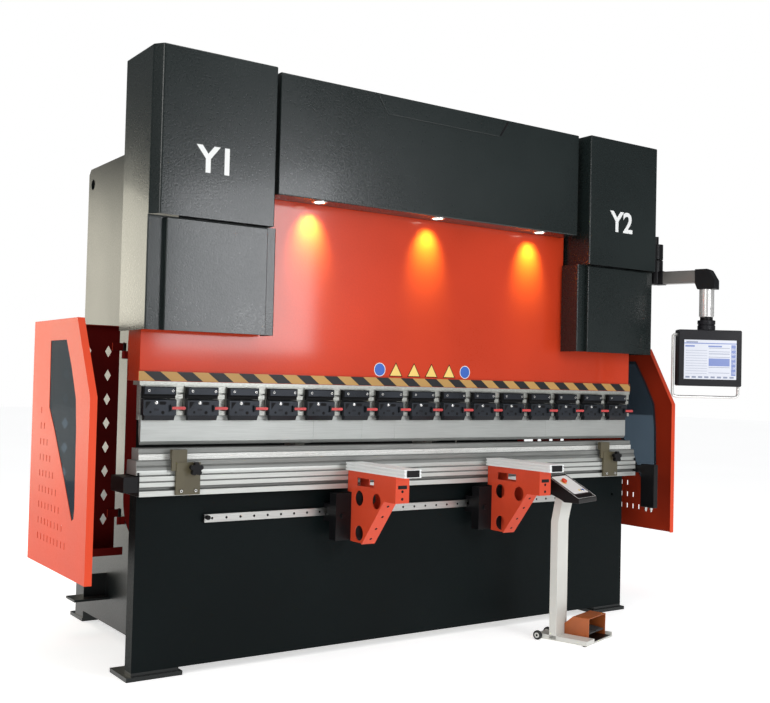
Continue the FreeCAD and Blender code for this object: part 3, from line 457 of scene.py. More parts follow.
def build_machine_paints(tints):
    painted("cover_paint", tints.cover, 0.72, (0.24, 0.36), 110.0, 1.3, 0.0006, 0.03,
            Specular_IOR_Level=0.5, Coat_Weight=0.25, Coat_Roughness=0.12)
    painted("frame_paint", tints.frame, 0.75, (0.28, 0.42), 110.0, 1.6, 0.0004, 0.04,
            Specular_IOR_Level=0.35)
    # Painted shade: darker reds for orange paint in shade, at the back of the throat, on the guards'
    # closing sheets and lip, and on their inner side.
    for name, colour in (("painted_shade_throat_red", rgba(tints.throat, 2.2)), ("guard_painted_shade", tints.throat),
                         ("guard_inner_painted_shade", rgba(tints.ram, 0.55))):
        painted(name, colour, 0.72, (0.4, 0.55), 150.0, 1.5, 0.0003, 0.02,
                Specular_IOR_Level=0.08)
    painted("bed_paint", tints.bed, 0.7, (0.38, 0.55), 90.0, 1.2, 0.0003, 0.03,
            Specular_IOR_Level=0.08)
    painted("ram_paint", tints.ram, 0.78, (0.26, 0.38), 100.0, 1.1, 0.0008, 0.03,
            Specular_IOR_Level=0.15, Coat_Weight=0.7, Coat_Roughness=0.1)
    painted("guard_orange", tints.guard, 0.85, (0.36, 0.48), 160.0, 1.5, 0.0003, 0.02,
            Specular_IOR_Level=0.1)
    painted("bracket_orange", tints.bracket, 0.8, (0.3, 0.42), 160.0, 3.0, 0.0003, 0.02,
            Specular_IOR_Level=0.25)
    painted("lever_red", tints.lever, 0.8, (0.25, 0.4), 300.0, 6.0, 0.0001, 0.05)
    painted("olive_paint", tints.olive, 0.75, (0.35, 0.5), 200.0, 6.0, 0.0002, 0.1)
    painted("tank_paint", (0.05, 0.055, 0.06), 0.75, (0.35, 0.5), 120.0, 2.0, 0.0003, 0.3)
    painted("cabinet_paint", (0.5, 0.5, 0.47), 0.88, (0.4, 0.5), 200.0, 1.8, 0.0002, 0.15)
    painted("cylinder_steel", (0.045, 0.05, 0.055), 0.7, (0.35, 0.5), 120.0, 3.0, 0.0003, 0.2)


def build_dark_finishes():
    painted("black_oxide", (0.018, 0.02, 0.025), 0.6, (0.25, 0.42), 260.0, 5.0, 0.0001, 0.1,
            Metallic=0.6)
    painted("clamp_blue", (0.026, 0.031, 0.04), 0.6, (0.25, 0.4), 260.0, 5.0, 0.0001, 0.1,
            Metallic=0.5)
    # Near-black for painted shade in holes, slots, pockets and under the foot hood, and for black
    # things: sticker rims, the screen's bezel, the rail's bumpers.
    painted("painted_shade_and_black", (0.006, 0.006, 0.007), 0.6, (0.6, 0.8), 200.0, 4.0, 0.0001, 0.0,
            Specular_IOR_Level=0.2)
    painted("black_casting", (0.008, 0.008, 0.009), 0.7, (0.3, 0.45), 220.0, 5.0, 0.0002, 0.0,
            Specular_IOR_Level=0.2)
    painted("panel_plastic", (0.01, 0.01, 0.013), 0.75, (0.35, 0.5), 500.0, 6.0, 0.0001, 0.02,
            Specular_IOR_Level=0.25)
    painted("console_black", (0.006, 0.005, 0.005), 0.7, (0.3, 0.45), 400.0, 6.0, 0.0001, 0.02,
            Specular_IOR_Level=0.2)
    painted("wheel_rubber", (0.02, 0.02, 0.02), 0.7, (0.6, 0.75), 500.0, 8.0, 0.0002, 0.15)


def build_pedestal_finishes(tints):
    painted("pedestal_cream", tints.pedestal, 0.88, (0.3, 0.42), 260.0, 2.5, 0.0001, 0.08)
    painted("foot_orange", tints.foot, 0.72, (0.32, 0.45), 240.0, 6.0, 0.0002, 0.1)
    painted("pedal_grey", (0.06, 0.06, 0.062), 0.7, (0.5, 0.65), 500.0, 8.0, 0.0003, 0.15)
    painted("keypad_white", (0.8, 0.8, 0.78), 0.95, (0.3, 0.4), 400.0, 6.0, 0.00005, 0.0)
    painted("stop_red", (0.78, 0.07, 0.02), 0.85, (0.2, 0.3), 300.0, 8.0, 0.00005, 0.0)


def build_marks(tints, sizes):
    painted("mark_white", (0.78, 0.79, 0.78), 0.95, (0.4, 0.5), 300.0, 6.0, 0.00005, 0.0)
    painted("sticker_yellow", (0.85, 0.6, 0.16), 0.92, (0.35, 0.45), 300.0, 9.0, 0.00005, 0.0)
    painted("sticker_blue", (0.03, 0.12, 0.5), 0.9, (0.35, 0.45), 300.0, 9.0, 0.00005, 0.0)
    striped("hazard_bands", tints.hazard, (0.012, 0.012, 0.014), sizes.stripe_pitch)


def build_metals():
    even, long_z = (300.0, 300.0, 300.0), (400.0, 400.0, 10.0)
    machined("ground_aluminium", (0.64, 0.66, 0.63), 0.8, (0.3, 0.42), metallic=0.5)
    # Darker and brighter copies of the ground aluminium: painted shade in the grooves, painted
    # highlight on edges and on the die's front.
    machined("aluminium_painted_groove_shade", (0.3, 0.31, 0.295), 0.55, (0.4, 0.55), metallic=0.4)
    machined("aluminium_painted_highlight", (0.75, 0.76, 0.73), 0.9, (0.22, 0.32), metallic=0.5)
    machined("extrusion", (0.88, 0.9, 0.89), 0.92, (0.32, 0.42), metallic=0.1)
    machined("tool_steel", (0.52, 0.54, 0.52), 0.8, (0.3, 0.42), metallic=0.55)
    machined("bright_steel", (0.62, 0.63, 0.58), 0.55, (0.25, 0.38), (60.0, 300.0, 300.0), 0.6)
    machined("rail_steel", (0.6, 0.6, 0.58), 0.75, (0.28, 0.4))
    machined("screw_steel", (0.75, 0.75, 0.73), 0.8, (0.2, 0.32), even)
    machined("tube_silver", (0.8, 0.79, 0.77), 0.85, (0.22, 0.3), long_z, 0.55)
    machined("arm_aluminium", (0.28, 0.27, 0.255), 0.85, (0.35, 0.45))
    machined("chrome_rod", (0.82, 0.82, 0.82), 0.9, (0.08, 0.14), (300.0, 300.0, 8.0))


def build_finishes(tints, sizes):
    build_machine_paints(tints)
    build_dark_finishes()
    build_pedestal_finishes(tints)
    build_marks(tints, sizes)
    build_metals()
    glowing("lamp_lens", (1.0, 0.93, 0.8), 9.0)
    glowing("screen_paper", (0.8, 0.83, 0.92), 0.95)
    glowing("screen_blue", (0.22, 0.3, 0.66), 0.9)
    glowing("screen_ink", (0.3, 0.34, 0.48), 0.9)
    clear_pane("window_acrylic", (0.1, 0.14, 0.18), (0.06, 0.09, 0.12))


# ------------------------------------------------------------------ settings

def length(label, text, default, top):
    return FloatProperty(name=label, description=text, default=default, min=0.0005, max=top,
                         precision=4, unit="LENGTH", subtype="DISTANCE")


def tint(label, text, default):
    return FloatVectorProperty(name=label, description=text, default=default, min=0.0, max=1.0,
                               size=3, subtype="COLOR")


class PressBrakeSizes(PropertyGroup):
    """Sizes that change the look and not the machine"""

    cover_fold: length("Cover fold", "Outside radius of the folds in the sheet covers", 0.006, 0.02)
    broken_edge: length("Broken edge", "Width of the broken edges on plates and castings",
                        0.0016, 0.005)
    stripe_pitch: length("Stripe pitch", "Distance along x from one warning band to the next",
                         0.16, 0.5)
    sticker: length("Sticker", "Width of the round and three-cornered stickers", 0.072, 0.1)


class PressBrakeTints(PropertyGroup):
    """Paint colours, and the deep red of painted shade"""

    cover: tint("Covers", "Slate paint on the cylinder and beam covers", (0.011, 0.017, 0.0165))
    frame: tint("Frame", "Paint on the side frames and feet", (0.009, 0.012, 0.012))
    # Painted shade: the throat tint stands for orange paint in shade, at the back of the throat and
    # on the guards' closing sheets.
    throat: tint("Throat edge", "Deep red on the throat edge and the guards' closing sheets",
                 (0.12, 0.006, 0.005))
    bed: tint("Bed", "Dark paint on the bed plate", (0.004, 0.0075, 0.008))
    ram: tint("Ram", "Orange-red paint on the ram", (0.64, 0.05, 0.014))
    guard: tint("Guards", "Orange paint on the side guards", (0.8, 0.082, 0.032))
    bracket: tint("Brackets", "Orange paint on the support brackets", (0.72, 0.075, 0.03))
    lever: tint("Levers", "Red paint on the clamp levers", (0.6, 0.06, 0.06))
    olive: tint("End stops", "Olive paint on the end stops", (0.105, 0.09, 0.05))
    hazard: tint("Warning bands", "Yellow of the warning bands", (0.52, 0.3, 0.09))
    pedestal: tint("Pedestal", "Cream paint on the operator's pedestal", (0.7, 0.7, 0.65))
    foot: tint("Foot hood", "Colour of the hood over the pedals", (0.52, 0.13, 0.03))


def settings():
    return bpy.context.scene.press_brake_sizes, bpy.context.scene.press_brake_tints


class PieceMaker(Operator):
    """Base of the operators that build pieces"""

    bl_idname = "press_brake.piece"
    bl_label = "Piece"
    bl_options = {"REGISTER", "UNDO"}

    def execute(self, context):
        sizes, tints = settings()
        self.make(sizes, tints)
        return {"FINISHED"}

    def make(self, sizes, tints):
        raise RuntimeError("a piece operator has to say what it makes")


# ------------------------------------------------------------------ frame and bed

class FramePlates(PieceMaker):
    """Side frames, foot plates, bed and cross beams"""

    bl_idname = "press_brake.frame_plates"
    bl_label = "Frame plates"

    def make(self, sizes, tints):
        edge = sizes.broken_edge / MM
        for side in SIDES:
            node = "side_frame_" + side
            dressed(node, node + "_plate", "root", ["frame_paint", "painted_shade_throat_red"], "frame_paint",
                    edge, self.throat_shade_rule)
        for node, name, paint in (("foot_plates", "foot_plate_set", "frame_paint"),
                                  ("bed", "bed_plate", "bed_paint"),
                                  ("crossbeams", "crossbeam_set", "frame_paint")):
            dressed(node, name, "root", [paint], "frame_paint", edge)

    def throat_shade_rule(self, centre, normal):
        """Painted shade and painted reflection: deep red at the back of the throat, for its shade and
        the orange guards reflected there.
        """
        start, low, high = 480.0, 560.0, 1650.0
        faces_front = normal.y < -0.25
        return 1 if faces_front and centre.y > start and low < centre.z < high else 0


class BedRail(PieceMaker):
    """Linear rail with its countersunk holes and end bumpers"""

    bl_idname = "press_brake.bed_rail"
    bl_label = "Bed rail"

    def make(self, sizes, tints):
        _, _, y0, _, z0, z1 = span("linear_rail")
        bumper, margin = 16.0, 8.0
        face = y0 + bumper

        # Painted shade fills the countersunk holes; the end bumpers in front of the rail's face are
        # black.
        def hole_shade_and_bumpers(centre, normal):
            in_hole = centre.y > face + 2 and z0 + margin < centre.z < z1 - margin
            return 1 if in_hole or centre.y < face - 1 else 0

        dressed("linear_rail", "linear_rail_bar", "root", ["rail_steel", "painted_shade_and_black"],
                "rail_steel", 0.8, hole_shade_and_bumpers)


class Table(PieceMaker):
    """Grooved table with its end blocks, die rail and die"""

    bl_idname = "press_brake.table"
    bl_label = "Table and die"

    def make(self, sizes, tints):
        metals = ["ground_aluminium", "aluminium_painted_groove_shade", "aluminium_painted_highlight"]

        def grooved(front, plain):
            """Painted shade on faces set back in the grooves, painted highlight on the front's up-
            and down-facing edges, and the plain finish on the front.
            """
            def rule(centre, normal):
                if normal.y > -0.2 and abs(normal.z) < 0.8:
                    return 0
                if centre.y > front + 1.5:
                    return 1
                return 2 if abs(normal.z) > 0.3 else plain
            return rule

        # Number 2, given as the die's plain front, is the painted highlight.
        for node, slot, plain in (("crowning_table", "ground_aluminium", 0),
                                  ("die_rail", "ground_aluminium", 0), ("die", "tool_steel", 2)):
            name = "table_bar" if node == "crowning_table" else node + "_bar"
            dressed(node, name, "root", metals, slot, 1.6, grooved(span(node)[2], plain))
        self.make_ends()

    def make_ends(self):
        """End plates, the left end block and the right end's box with its two glands."""
        x0, x1, y0, y1, z0, z1 = span("crowning_table")
        plate, box_low = 5.0, z0 - 190
        ends = Bench()
        for left in (x0 - plate, x1):
            ends.block(left, left + plate, y0 + 2, y1, z0 + 2, z1 + 14)
        ends.slab(x0 - 74, x0 - plate, y0 + 4, y1 - 6, z0 + 20, z1 - 4, 3)
        ends.slab(x1 + plate, x1 + 40, y0 - 145, y0 - 40, box_low, z1 - 20, 4)
        ends.slab(x1 + plate, x1 + 40, y0 - 42, y1 - 6, z0 + 20, z1 - 30, 3)
        for y in (y0 - 112, y0 - 70):
            ends.turn((x1 + 22, y, box_low), DOWNWARD, [(9, -1), (9, 14), (6, 15), (6, 26)], 1, 16)
        ends.finish("table_end_plates", "root", ["black_casting", "screw_steel"], "frame_paint",
                    bevel=1.2)


class EndStops(PieceMaker):
    """Olive angle stops with star knobs and socket screws"""

    bl_idname = "press_brake.end_stops"
    bl_label = "End stops"

    def make(self, sizes, tints):
        plate_front, knob_low, screw_top = -96.0, 940.0, 900.0
        left_plate, right_plate, screw_head = span("end_stops")[0] + 21.0, 1326.0, 8.0

        def knobs_and_screws(centre, normal):
            proud = plate_front - centre.y
            if proud > 17 or (proud > 8.5 and centre.z > knob_low):
                return 1
            return 2 if proud > 0.5 and centre.z < screw_top else 0

        dressed("end_stops", "end_stop_pair", "root", ["olive_paint", "black_casting",
                "screw_steel"], "olive_paint", 1.2, knobs_and_screws)
        # Hex sockets in the screw heads: flat discs of painted shade.
        sockets = Bench()
        for left in (left_plate, right_plate):
            for x in (left + 24, left + 96):
                sockets.turn((x, plate_front - screw_head, 868.0), FORWARD,
                             [(3.6, -0.5), (3.6, 0.3)], sides=6)
        sockets.finish("end_stop_sockets", "root", ["painted_shade_and_black"], "olive_paint")


# ------------------------------------------------------------------ ram and tooling

class Ram(PieceMaker):
    """Ram plate, warning bands and plain stickers"""

    bl_idname = "press_brake.ram"
    bl_label = "Ram"

    def make(self, sizes, tints):
        x0, x1, y0, _, z0, _ = span("ram")
        dressed("ram", "ram_plate", "ram", ["ram_paint"], "ram_orange", sizes.broken_edge / MM)
        bar_top = 1416.0
        band = Bench()
        band.slab(x0 + 2, x1 - 2, y0 - 0.6, y0 + 0.5, z0 + 2, bar_top - 2, 1.5)
        band.finish("warning_band", "ram", ["hazard_bands"], "ram_orange")
        self.make_stickers(sizes.sticker / MM / 2)

    def make_stickers(self, half):
        """Two round and four three-cornered stickers, each a plain field on its rim."""
        blue, yellow, white, dark = range(4)
        face, round_z, corner_z, rim, field = -20.0, 1456.0, 1447.0, 0.5, 0.7
        stickers = Bench()
        for x in (-289.0, 288.0):
            stickers.turn((x, face, round_z), FORWARD, [(half, -0.2), (half, rim)], white, 48)
            stickers.turn((x, face, round_z), FORWARD, [(half * 0.9, 0.4), (half * 0.9, field)],
                          blue, 48)
        for x in (-185.0, -65.0, 53.0, 176.0):
            for reach, front, finish in ((half * 1.4, rim, dark),
                                         (half * 1.4 * 0.84, field, yellow)):
                corners = [(x + reach * math.sin(math.radians(a)),
                            corner_z + reach * math.cos(math.radians(a))) for a in (0, 120, 240)]
                stickers.prism(corners, "y", face - front, face + 0.2, finish)
        stickers.finish("plain_stickers", "ram", ["sticker_blue", "sticker_yellow", "mark_white",
                        "painted_shade_and_black"], "ram_orange")


class Tooling(PieceMaker):
    """Adapters, clamp plates, screws, levers and punches"""

    bl_idname = "press_brake.tooling"
    bl_label = "Clamps and punches"

    def make(self, sizes, tints):
        dressed("tool_adapters", "tool_adapter_set", "ram", ["bright_steel"], "bright_steel", 1.0)
        first, _, _, _, low, top = span("clamp_plates")
        levers = sorted(node for node in NODES if node.startswith("clamp_lever_"))
        pitch = (span(levers[-1])[0] - span(levers[0])[0]) / (len(levers) - 1)
        clamps = Bench()
        for i in range(len(levers)):
            self.make_clamp(clamps, first + i * pitch, low, top)
        clamps.finish("clamp_plate_set", "ram", ["black_oxide", "clamp_blue", "screw_steel",
                      "painted_shade_and_black"], "black_oxide", ["clamp_plates"], 1.2)
        for lever in levers:
            self.make_lever(lever)
        dressed("punches", "punch_set", "ram", ["tool_steel"], "tool_steel", 0.5)

    def make_clamp(self, clamps, x, low, top):
        """Backing block, face plate with two screws, and the jaw with its lip and its pockets, drawn
        as painted shade.
        """
        oxide, blue, steel, dark = range(4)
        wide, back, plate, face, lip = 160.0, -22.5, -52.0, -56.0, 23.0
        jaw_top, screw_z = top - 57, top - 19
        clamps.prism([(back, top - 55), (back, top), (-48, top), (-48, top - 38), (-41, top - 42),
                      (-41, top - 55)], "x", x, x + wide, dark)
        clamps.slab(x + 6, x + wide - 6, plate, plate + 5, top - 35, top - 4, 2, finish=blue)
        clamps.prism([(back, low + lip), (back, jaw_top), (-43, jaw_top), (face, jaw_top - 5),
                      (face, low + lip)], "x", x, x + wide, blue)
        clamps.prism([(back, low), (back, low + lip), (face, low + lip), (-44, low)], "x",
                     x + 8, x + wide - 6, oxide)
        for screw_x in (x + 26, x + 143):
            screw = (screw_x, plate, screw_z)
            clamps.turn(screw, FORWARD, [(6.5, -1), (6.5, 2.4), (5.6, 3.2), (3.4, 3.2),
                        (3.4, 1.2)], steel, 24)
            # Hex socket: a flat disc of painted shade.
            clamps.turn(screw, FORWARD, [(3.3, 1.0), (3.3, 1.6)], dark, 6)
        clamps.turn((x + 62, face, low + 82), FORWARD, [(8.5, -1), (8.5, 0.6), (7, 0.6),
                    (7, 3.4), (6, 4)], steel, 24)
        # Pockets and holes in the jaw are flat near-black patches of painted shade on its face.
        flat_on_face = (face - 0.5, face + 1)
        clamps.slab(x + 76, x + 110, *flat_on_face, low + 72, low + 87, 7, finish=dark)
        clamps.turn((x + 94, face, low + 36), FORWARD, [(8, -1), (8, 0.5)], dark, 24)
        clamps.turn((x + 34, face, low + 38), FORWARD, [(6, -1), (6, 0.5)], dark, 24)
        clamps.prism([(x + 10, jaw_top - 12), (x + 36, jaw_top - 12), (x + 10, low + 52)], "y",
                     *flat_on_face, dark)
        clamps.slab(x + 50, x + 74, *flat_on_face, low + 44, low + 56, 3, finish=oxide)
        pin, pin_z = x + 132, low + 57
        for below, above in ((9.6, 15), (-15, -9.6)):
            clamps.block(pin - 5, pin + 5, -68, face, pin_z + below, pin_z + above, oxide)

    def make_lever(self, node):
        """A flat bar that widens towards a rounded grip."""
        x0, x1, y0, y1, z0, z1 = span(node)
        mid = (z0 + z1) / 2
        heel = (y1 - y0) / 2
        tip = 7.0
        outline = [(x0 + heel * 0.6, mid - 6), (x0 + 26, mid - 6.4), (x1 - 2 * tip, mid - tip)]
        outline += [(x1 - tip + tip * math.sin(math.radians(a)),
                     mid - tip * math.cos(math.radians(a))) for a in range(0, 181, 30)]
        outline += [(x1 - 2 * tip, mid + tip), (x0 + 26, mid + 6.4), (x0 + heel * 0.6, mid + 6)]
        lever = Bench()
        lever.prism(outline, "y", y0 + 0.6, y1 - 0.6)
        lever.turn((x0 + heel, (y0 + y1) / 2, z0), UPWARD,
                   [(heel - 1, 0), (heel, 1), (heel, z1 - z0 - 1), (heel - 1, z1 - z0)], 1)
        lever.finish(node + "_bar", node, ["lever_red", "black_oxide"], "lever_red", [node], 1.4, 3)


# ------------------------------------------------------------------ covers

class CylinderCovers(PieceMaker):
    """Folded upper and lower covers in front of each cylinder, and the lower covers' panels"""

    bl_idname = "press_brake.cylinder_covers"
    bl_label = "Cylinder covers"

    def make(self, sizes, tints):
        fold = sizes.cover_fold / MM
        for side, sign in SIDES.items():
            self.make_upper("upper_cover_" + side, sign, fold)
            self.make_lower("lower_cover_" + side, sign, fold)

    def make_upper(self, node, sign, fold):
        """Tall cover with a slanting outer corner and a lid."""
        corner_x, corner_y = 34.0, 46.0
        x0, x1, y0, y1, z0, z1 = span(node)
        outer, inner = (x0, x1) if sign < 0 else (x1, x0)
        plan = [(outer, y1), (outer, y0 + corner_y), (outer - sign * corner_x, y0), (inner, y0),
                (inner, y1)]
        self.folded(plan, z0, z1, node, fold)

    def make_lower(self, node, sign, fold):
        """Lower cover, and the shallow pan that stands out from its face."""
        x0, x1, y0, y1, z0, z1 = span(node)
        outer, inner = (x0, x1) if sign < 0 else (x1, x0)
        face, top = y0 + 29.0, z1 - 7.5
        plan = [(outer, y1), (outer, face), (inner, face), (inner, COVER_BACK)]
        self.folded(plan, z0, z1, node, fold, lid=False)
        left, right = sorted((outer - sign * 78, inner + sign * 58))
        corners = [(left, z0), (right, z0), (right, top), (left, top)]
        pan = Bench()
        pan.skin([(x, y, z) for y in (face, y0) for x, z in corners],
                 [(4, 5, 6, 7), (0, 4, 7, 3), (5, 1, 2, 6), (7, 6, 2, 3)])
        pan.finish(node + "_panel", "root", ["cover_paint"], "cover_paint", bevel=fold * 0.7,
                   segments=3, folded_sheet=True)

    def folded(self, plan, z0, z1, node, fold, lid=True):
        """A sheet bent round the plan, open at the back and below."""
        n = len(plan)
        points = [(x, y, z) for z in (z0, z1) for x, y in plan]
        rings = [(i, i + 1, n + i + 1, n + i) for i in range(n - 1)]
        if lid:
            rings.append(tuple(range(n, 2 * n)))
        shell = Bench()
        shell.skin(points, rings)
        shell.finish(node + "_sheet", "root", ["cover_paint"], "cover_paint", [node], fold, 3,
                     folded_sheet=True)


class BeamCover(PieceMaker):
    """Long cover between the cylinders, its blank name bay, its slot and its lamps"""

    bl_idname = "press_brake.beam_cover"
    bl_label = "Beam cover"

    def make(self, sizes, tints):
        x0, x1, y0, y1, z0, z1 = span("beam_cover")
        z0 += LAMP_LIFT
        shell = Bench()
        points = [(x0, y0, z0), (x1, y0, z0), (x1, y0, z1), (x0, y0, z1),
                  (x0, COVER_BACK, z0), (x1, COVER_BACK, z0), (x1, COVER_BACK, z1),
                  (x0, COVER_BACK, z1), (x0, y1, z1), (x1, y1, z1)]
        shell.skin(points, [(0, 1, 2, 3), (4, 0, 3, 7), (1, 5, 6, 2), (3, 2, 6, 9, 8, 7),
                            (0, 4, 5, 1)])
        shell.finish("beam_cover_sheet", "root", ["cover_paint"], "cover_paint", ["beam_cover"],
                     sizes.cover_fold / MM, 3, folded_sheet=True)
        self.make_bay(y0, z1)
        self.make_lamps(z0)

    def make_bay(self, front, top):
        """Raised name bay, left blank, and the slot along its right edge."""
        half_top, half_low, low, proud = 440.0, 378.0, top - 102.0, 5.0
        plate = Bench()
        plate.prism([(-half_top, top - 4), (-half_low, low), (half_low, low),
                     (half_top, top - 4)], "y", front - proud, front + 1)
        plate.finish("beam_cover_bay", "root", ["cover_paint"], "cover_paint", bevel=2.5,
                     segments=3)
        # The slot is a flat strip of painted shade on the face.
        slot, wide = Bench(), 14.0
        left_top, left_low = half_top - 2, half_low + 5
        slot.prism([(left_top, top - 10), (left_low, low + 6), (left_low + wide, low + 6),
                    (left_top + wide, top - 10)], "y", front - 0.6, front + 0.4)
        slot.finish("beam_cover_slot", "root", ["painted_shade_and_black"], "cover_paint")

    def make_lamps(self, under):
        """Three round lamps with a bright ring and a lens."""
        rings = Bench()
        for i in (-1, 0, 1):
            centre = (i * LAMP_PITCH, LAMP_Y, under)
            rings.turn(centre, DOWNWARD, [(30, -2), (42, -1), (42, 2), (40, 4.5), (34, 5),
                       (31, 2)], 0)
            rings.turn(centre, DOWNWARD, [(31, -1), (31, 1.5), (18, 3), (0, 3.6)], 1)
        rings.finish("downlight_set", "root", ["screw_steel", "lamp_lens"], "cover_paint")


class AxisMarks(PieceMaker):
    """Plain axis marks on the upper covers"""

    bl_idname = "press_brake.axis_marks"
    bl_label = "Axis marks"

    def make(self, sizes, tints):
        letter_height = 0.17
        for side, text, x, z in (("left", "Y1", -1355.0, 2377.0), ("right", "Y2", 1317.0, 2379.0)):
            face = span("upper_cover_" + side)[2]
            letters = bpy.data.curves.new("axis_mark_" + side, "FONT")
            letters.body = text
            letters.size = letter_height
            letters.extrude = 0.0004
            letters.offset = 0.004
            letters.align_x = "CENTER"
            letters.align_y = "CENTER"
            letters.materials.append(FINISHES["mark_white"])
            mark = bpy.data.objects.new("axis_mark_" + side, letters)
            bpy.context.scene.collection.objects.link(mark)
            mark.rotation_euler.x = math.radians(90)
            mark.location = (x * MM, (face - 0.6 + BEND_Y) * MM, z * MM)
            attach(mark, "root")


# ------------------------------------------------------------------ guards

class SideGuards(PieceMaker):
    """Swinging side guards with their clear windows"""

    bl_idname = "press_brake.side_guards"
    bl_label = "Side guards"

    def make(self, sizes, tints):
        hinge_x, hinge_y, sheet_x, outer_x, closer_y = 1450.0, 650.0, 1500.0, 1880.0, 600.0
        for side, sign in SIDES.items():
            node, pane = "side_guard_" + side, "guard_window_" + side
            lip_top = span(node)[4] + 45

            def sheet_shading(centre, normal):
                """Black hinge; painted shade on the inner side, the closing sheets and the low lip;
                orange outside.
                """
                aside = abs(centre.x)
                if aside < hinge_x and centre.y > hinge_y:
                    return 3
                if normal.x * sign < -0.5 and aside > sheet_x:
                    return 2
                closer = normal.y < -0.5 and centre.y > closer_y
                return 1 if closer or (centre.z < lip_top and aside < outer_x) else 0

            dressed(node, node + "_sheet", "guard_" + side, ["guard_orange", "guard_painted_shade",
                    "guard_inner_painted_shade", "black_casting"], "guard_orange", 0.8, sheet_shading)
            dressed(pane, pane + "_pane", "guard_" + side, ["window_acrylic"], "window_acrylic",
                    0.8)


# ------------------------------------------------------------------ supports

class SheetSupports(PieceMaker):
    """Support brackets, carriages and grooved beams"""

    bl_idname = "press_brake.sheet_supports"
    bl_label = "Sheet supports"

    def make(self, sizes, tints):
        for side in SIDES:
            self.make_bracket("support_bracket_" + side, "support_" + side)
            self.make_beam("support_beam_" + side, "support_" + side)

    def make_bracket(self, node, body):
        """Bracket in orange on its dark carriage, with painted shade in its screw holes and a black
        plate.
        """
        right = span(node)[1]
        web, web_back, carriage_top = right - 80.0, -121.9, 828.0

        def carriage(centre, normal):
            beside = centre.y > web_back or centre.x < web - 1
            return 1 if beside and centre.z < carriage_top else 0

        dressed(node, node + "_plates", body, ["bracket_orange", "black_casting"],
                "bracket_orange", 1.2, carriage)
        middle, front = right - 40, -506.0
        slope_y, slope_z, run_y, rise_z = -223.0, 580.0, -188.0, 232.0
        slope_normal, hole = (0, -0.777, -0.63), [(7, -0.3), (7, 0.4)]
        holes = Bench()
        for part in (0.12, 0.36, 0.64, 0.88):
            place = (middle, slope_y + run_y * part, slope_z + rise_z * part)
            holes.turn(place, slope_normal, hole, 0, 20)
        for z in (832, 868):
            holes.turn((middle, front, z), FORWARD, hole, 0, 20)
        holes.slab(middle - 26, middle + 26, front - 1, front + 1, 880, 897, 3, finish=1)
        holes.finish(node + "_holes", body, ["painted_shade_and_black", "black_casting"], "bracket_orange")

    def make_beam(self, node, body):
        """Grooved beam with a black end cap."""
        cap_back = span(node)[2] + 3.9

        def cap(centre, normal):
            return 1 if centre.y < cap_back else 0

        dressed(node, node + "_bar", body, ["extrusion", "black_casting"], "extrusion", 1.0, cap)


class BackGauge(PieceMaker):
    """Back gauge rails, cross beam and fingers"""

    bl_idname = "press_brake.back_gauge"
    bl_label = "Back gauge"

    def make(self, sizes, tints):
        dressed("gauge_rails", "gauge_rail_pair", "root", ["rail_steel"], "rail_steel")
        dressed("gauge_beam", "gauge_cross_beam", "back_gauge", ["extrusion"], "extrusion", 2.0)
        dressed("gauge_fingers", "gauge_finger_pair", "back_gauge", ["bright_steel"],
                "bright_steel", 1.0)


# ------------------------------------------------------------------ rear side

class Cylinders(PieceMaker):
    """Both cylinders and their piston rods"""

    bl_idname = "press_brake.cylinders"
    bl_label = "Cylinders"

    def make(self, sizes, tints):
        dressed("cylinders", "cylinder_pair", "root", ["cylinder_steel"], "cylinder_steel")
        dressed("piston_rods", "piston_rod_pair", "ram", ["chrome_rod"], "chrome_rod")


class HydraulicUnit(PieceMaker):
    """Tank, pump motor and their trim"""

    bl_idname = "press_brake.hydraulic_unit"
    bl_label = "Hydraulic unit"

    def make(self, sizes, tints):
        dressed("hydraulic_unit", "hydraulic_unit_body", "root", ["tank_paint"], "tank_paint", 3.0)
        _, _, _, back, low, _ = span("hydraulic_unit")
        motor_y, motor_z, lid_z, fin_pitch = 530.0, 1860.0, 2180.0, 25.0
        trim = Bench()
        for k in range(10):
            trim.turn((600.0 + fin_pitch * k, motor_y, motor_z), SIDEWAYS,
                      [(112, 0), (121, 1), (121, 5), (112, 6)], 0, 48)
        trim.slab(650, 750, motor_y - 50, motor_y + 50, motor_z + 108, motor_z + 152, 6, "z", 1)
        trim.slab(380, 410, back - 1, back + 8, low + 90, low + 330, 6, "y", 1)
        trim.slab(388, 402, back + 7, back + 9, low + 105, low + 315, 6, "y", 2)
        for x in (-470.0, -160.0, 150.0, 460.0):
            trim.turn((x, back - 24, lid_z), UPWARD, [(9, -1), (9, 5), (6, 7)], 2, 6)
        trim.finish("hydraulic_unit_trim", "root", ["tank_paint", "black_casting",
                    "screw_steel"], "tank_paint")


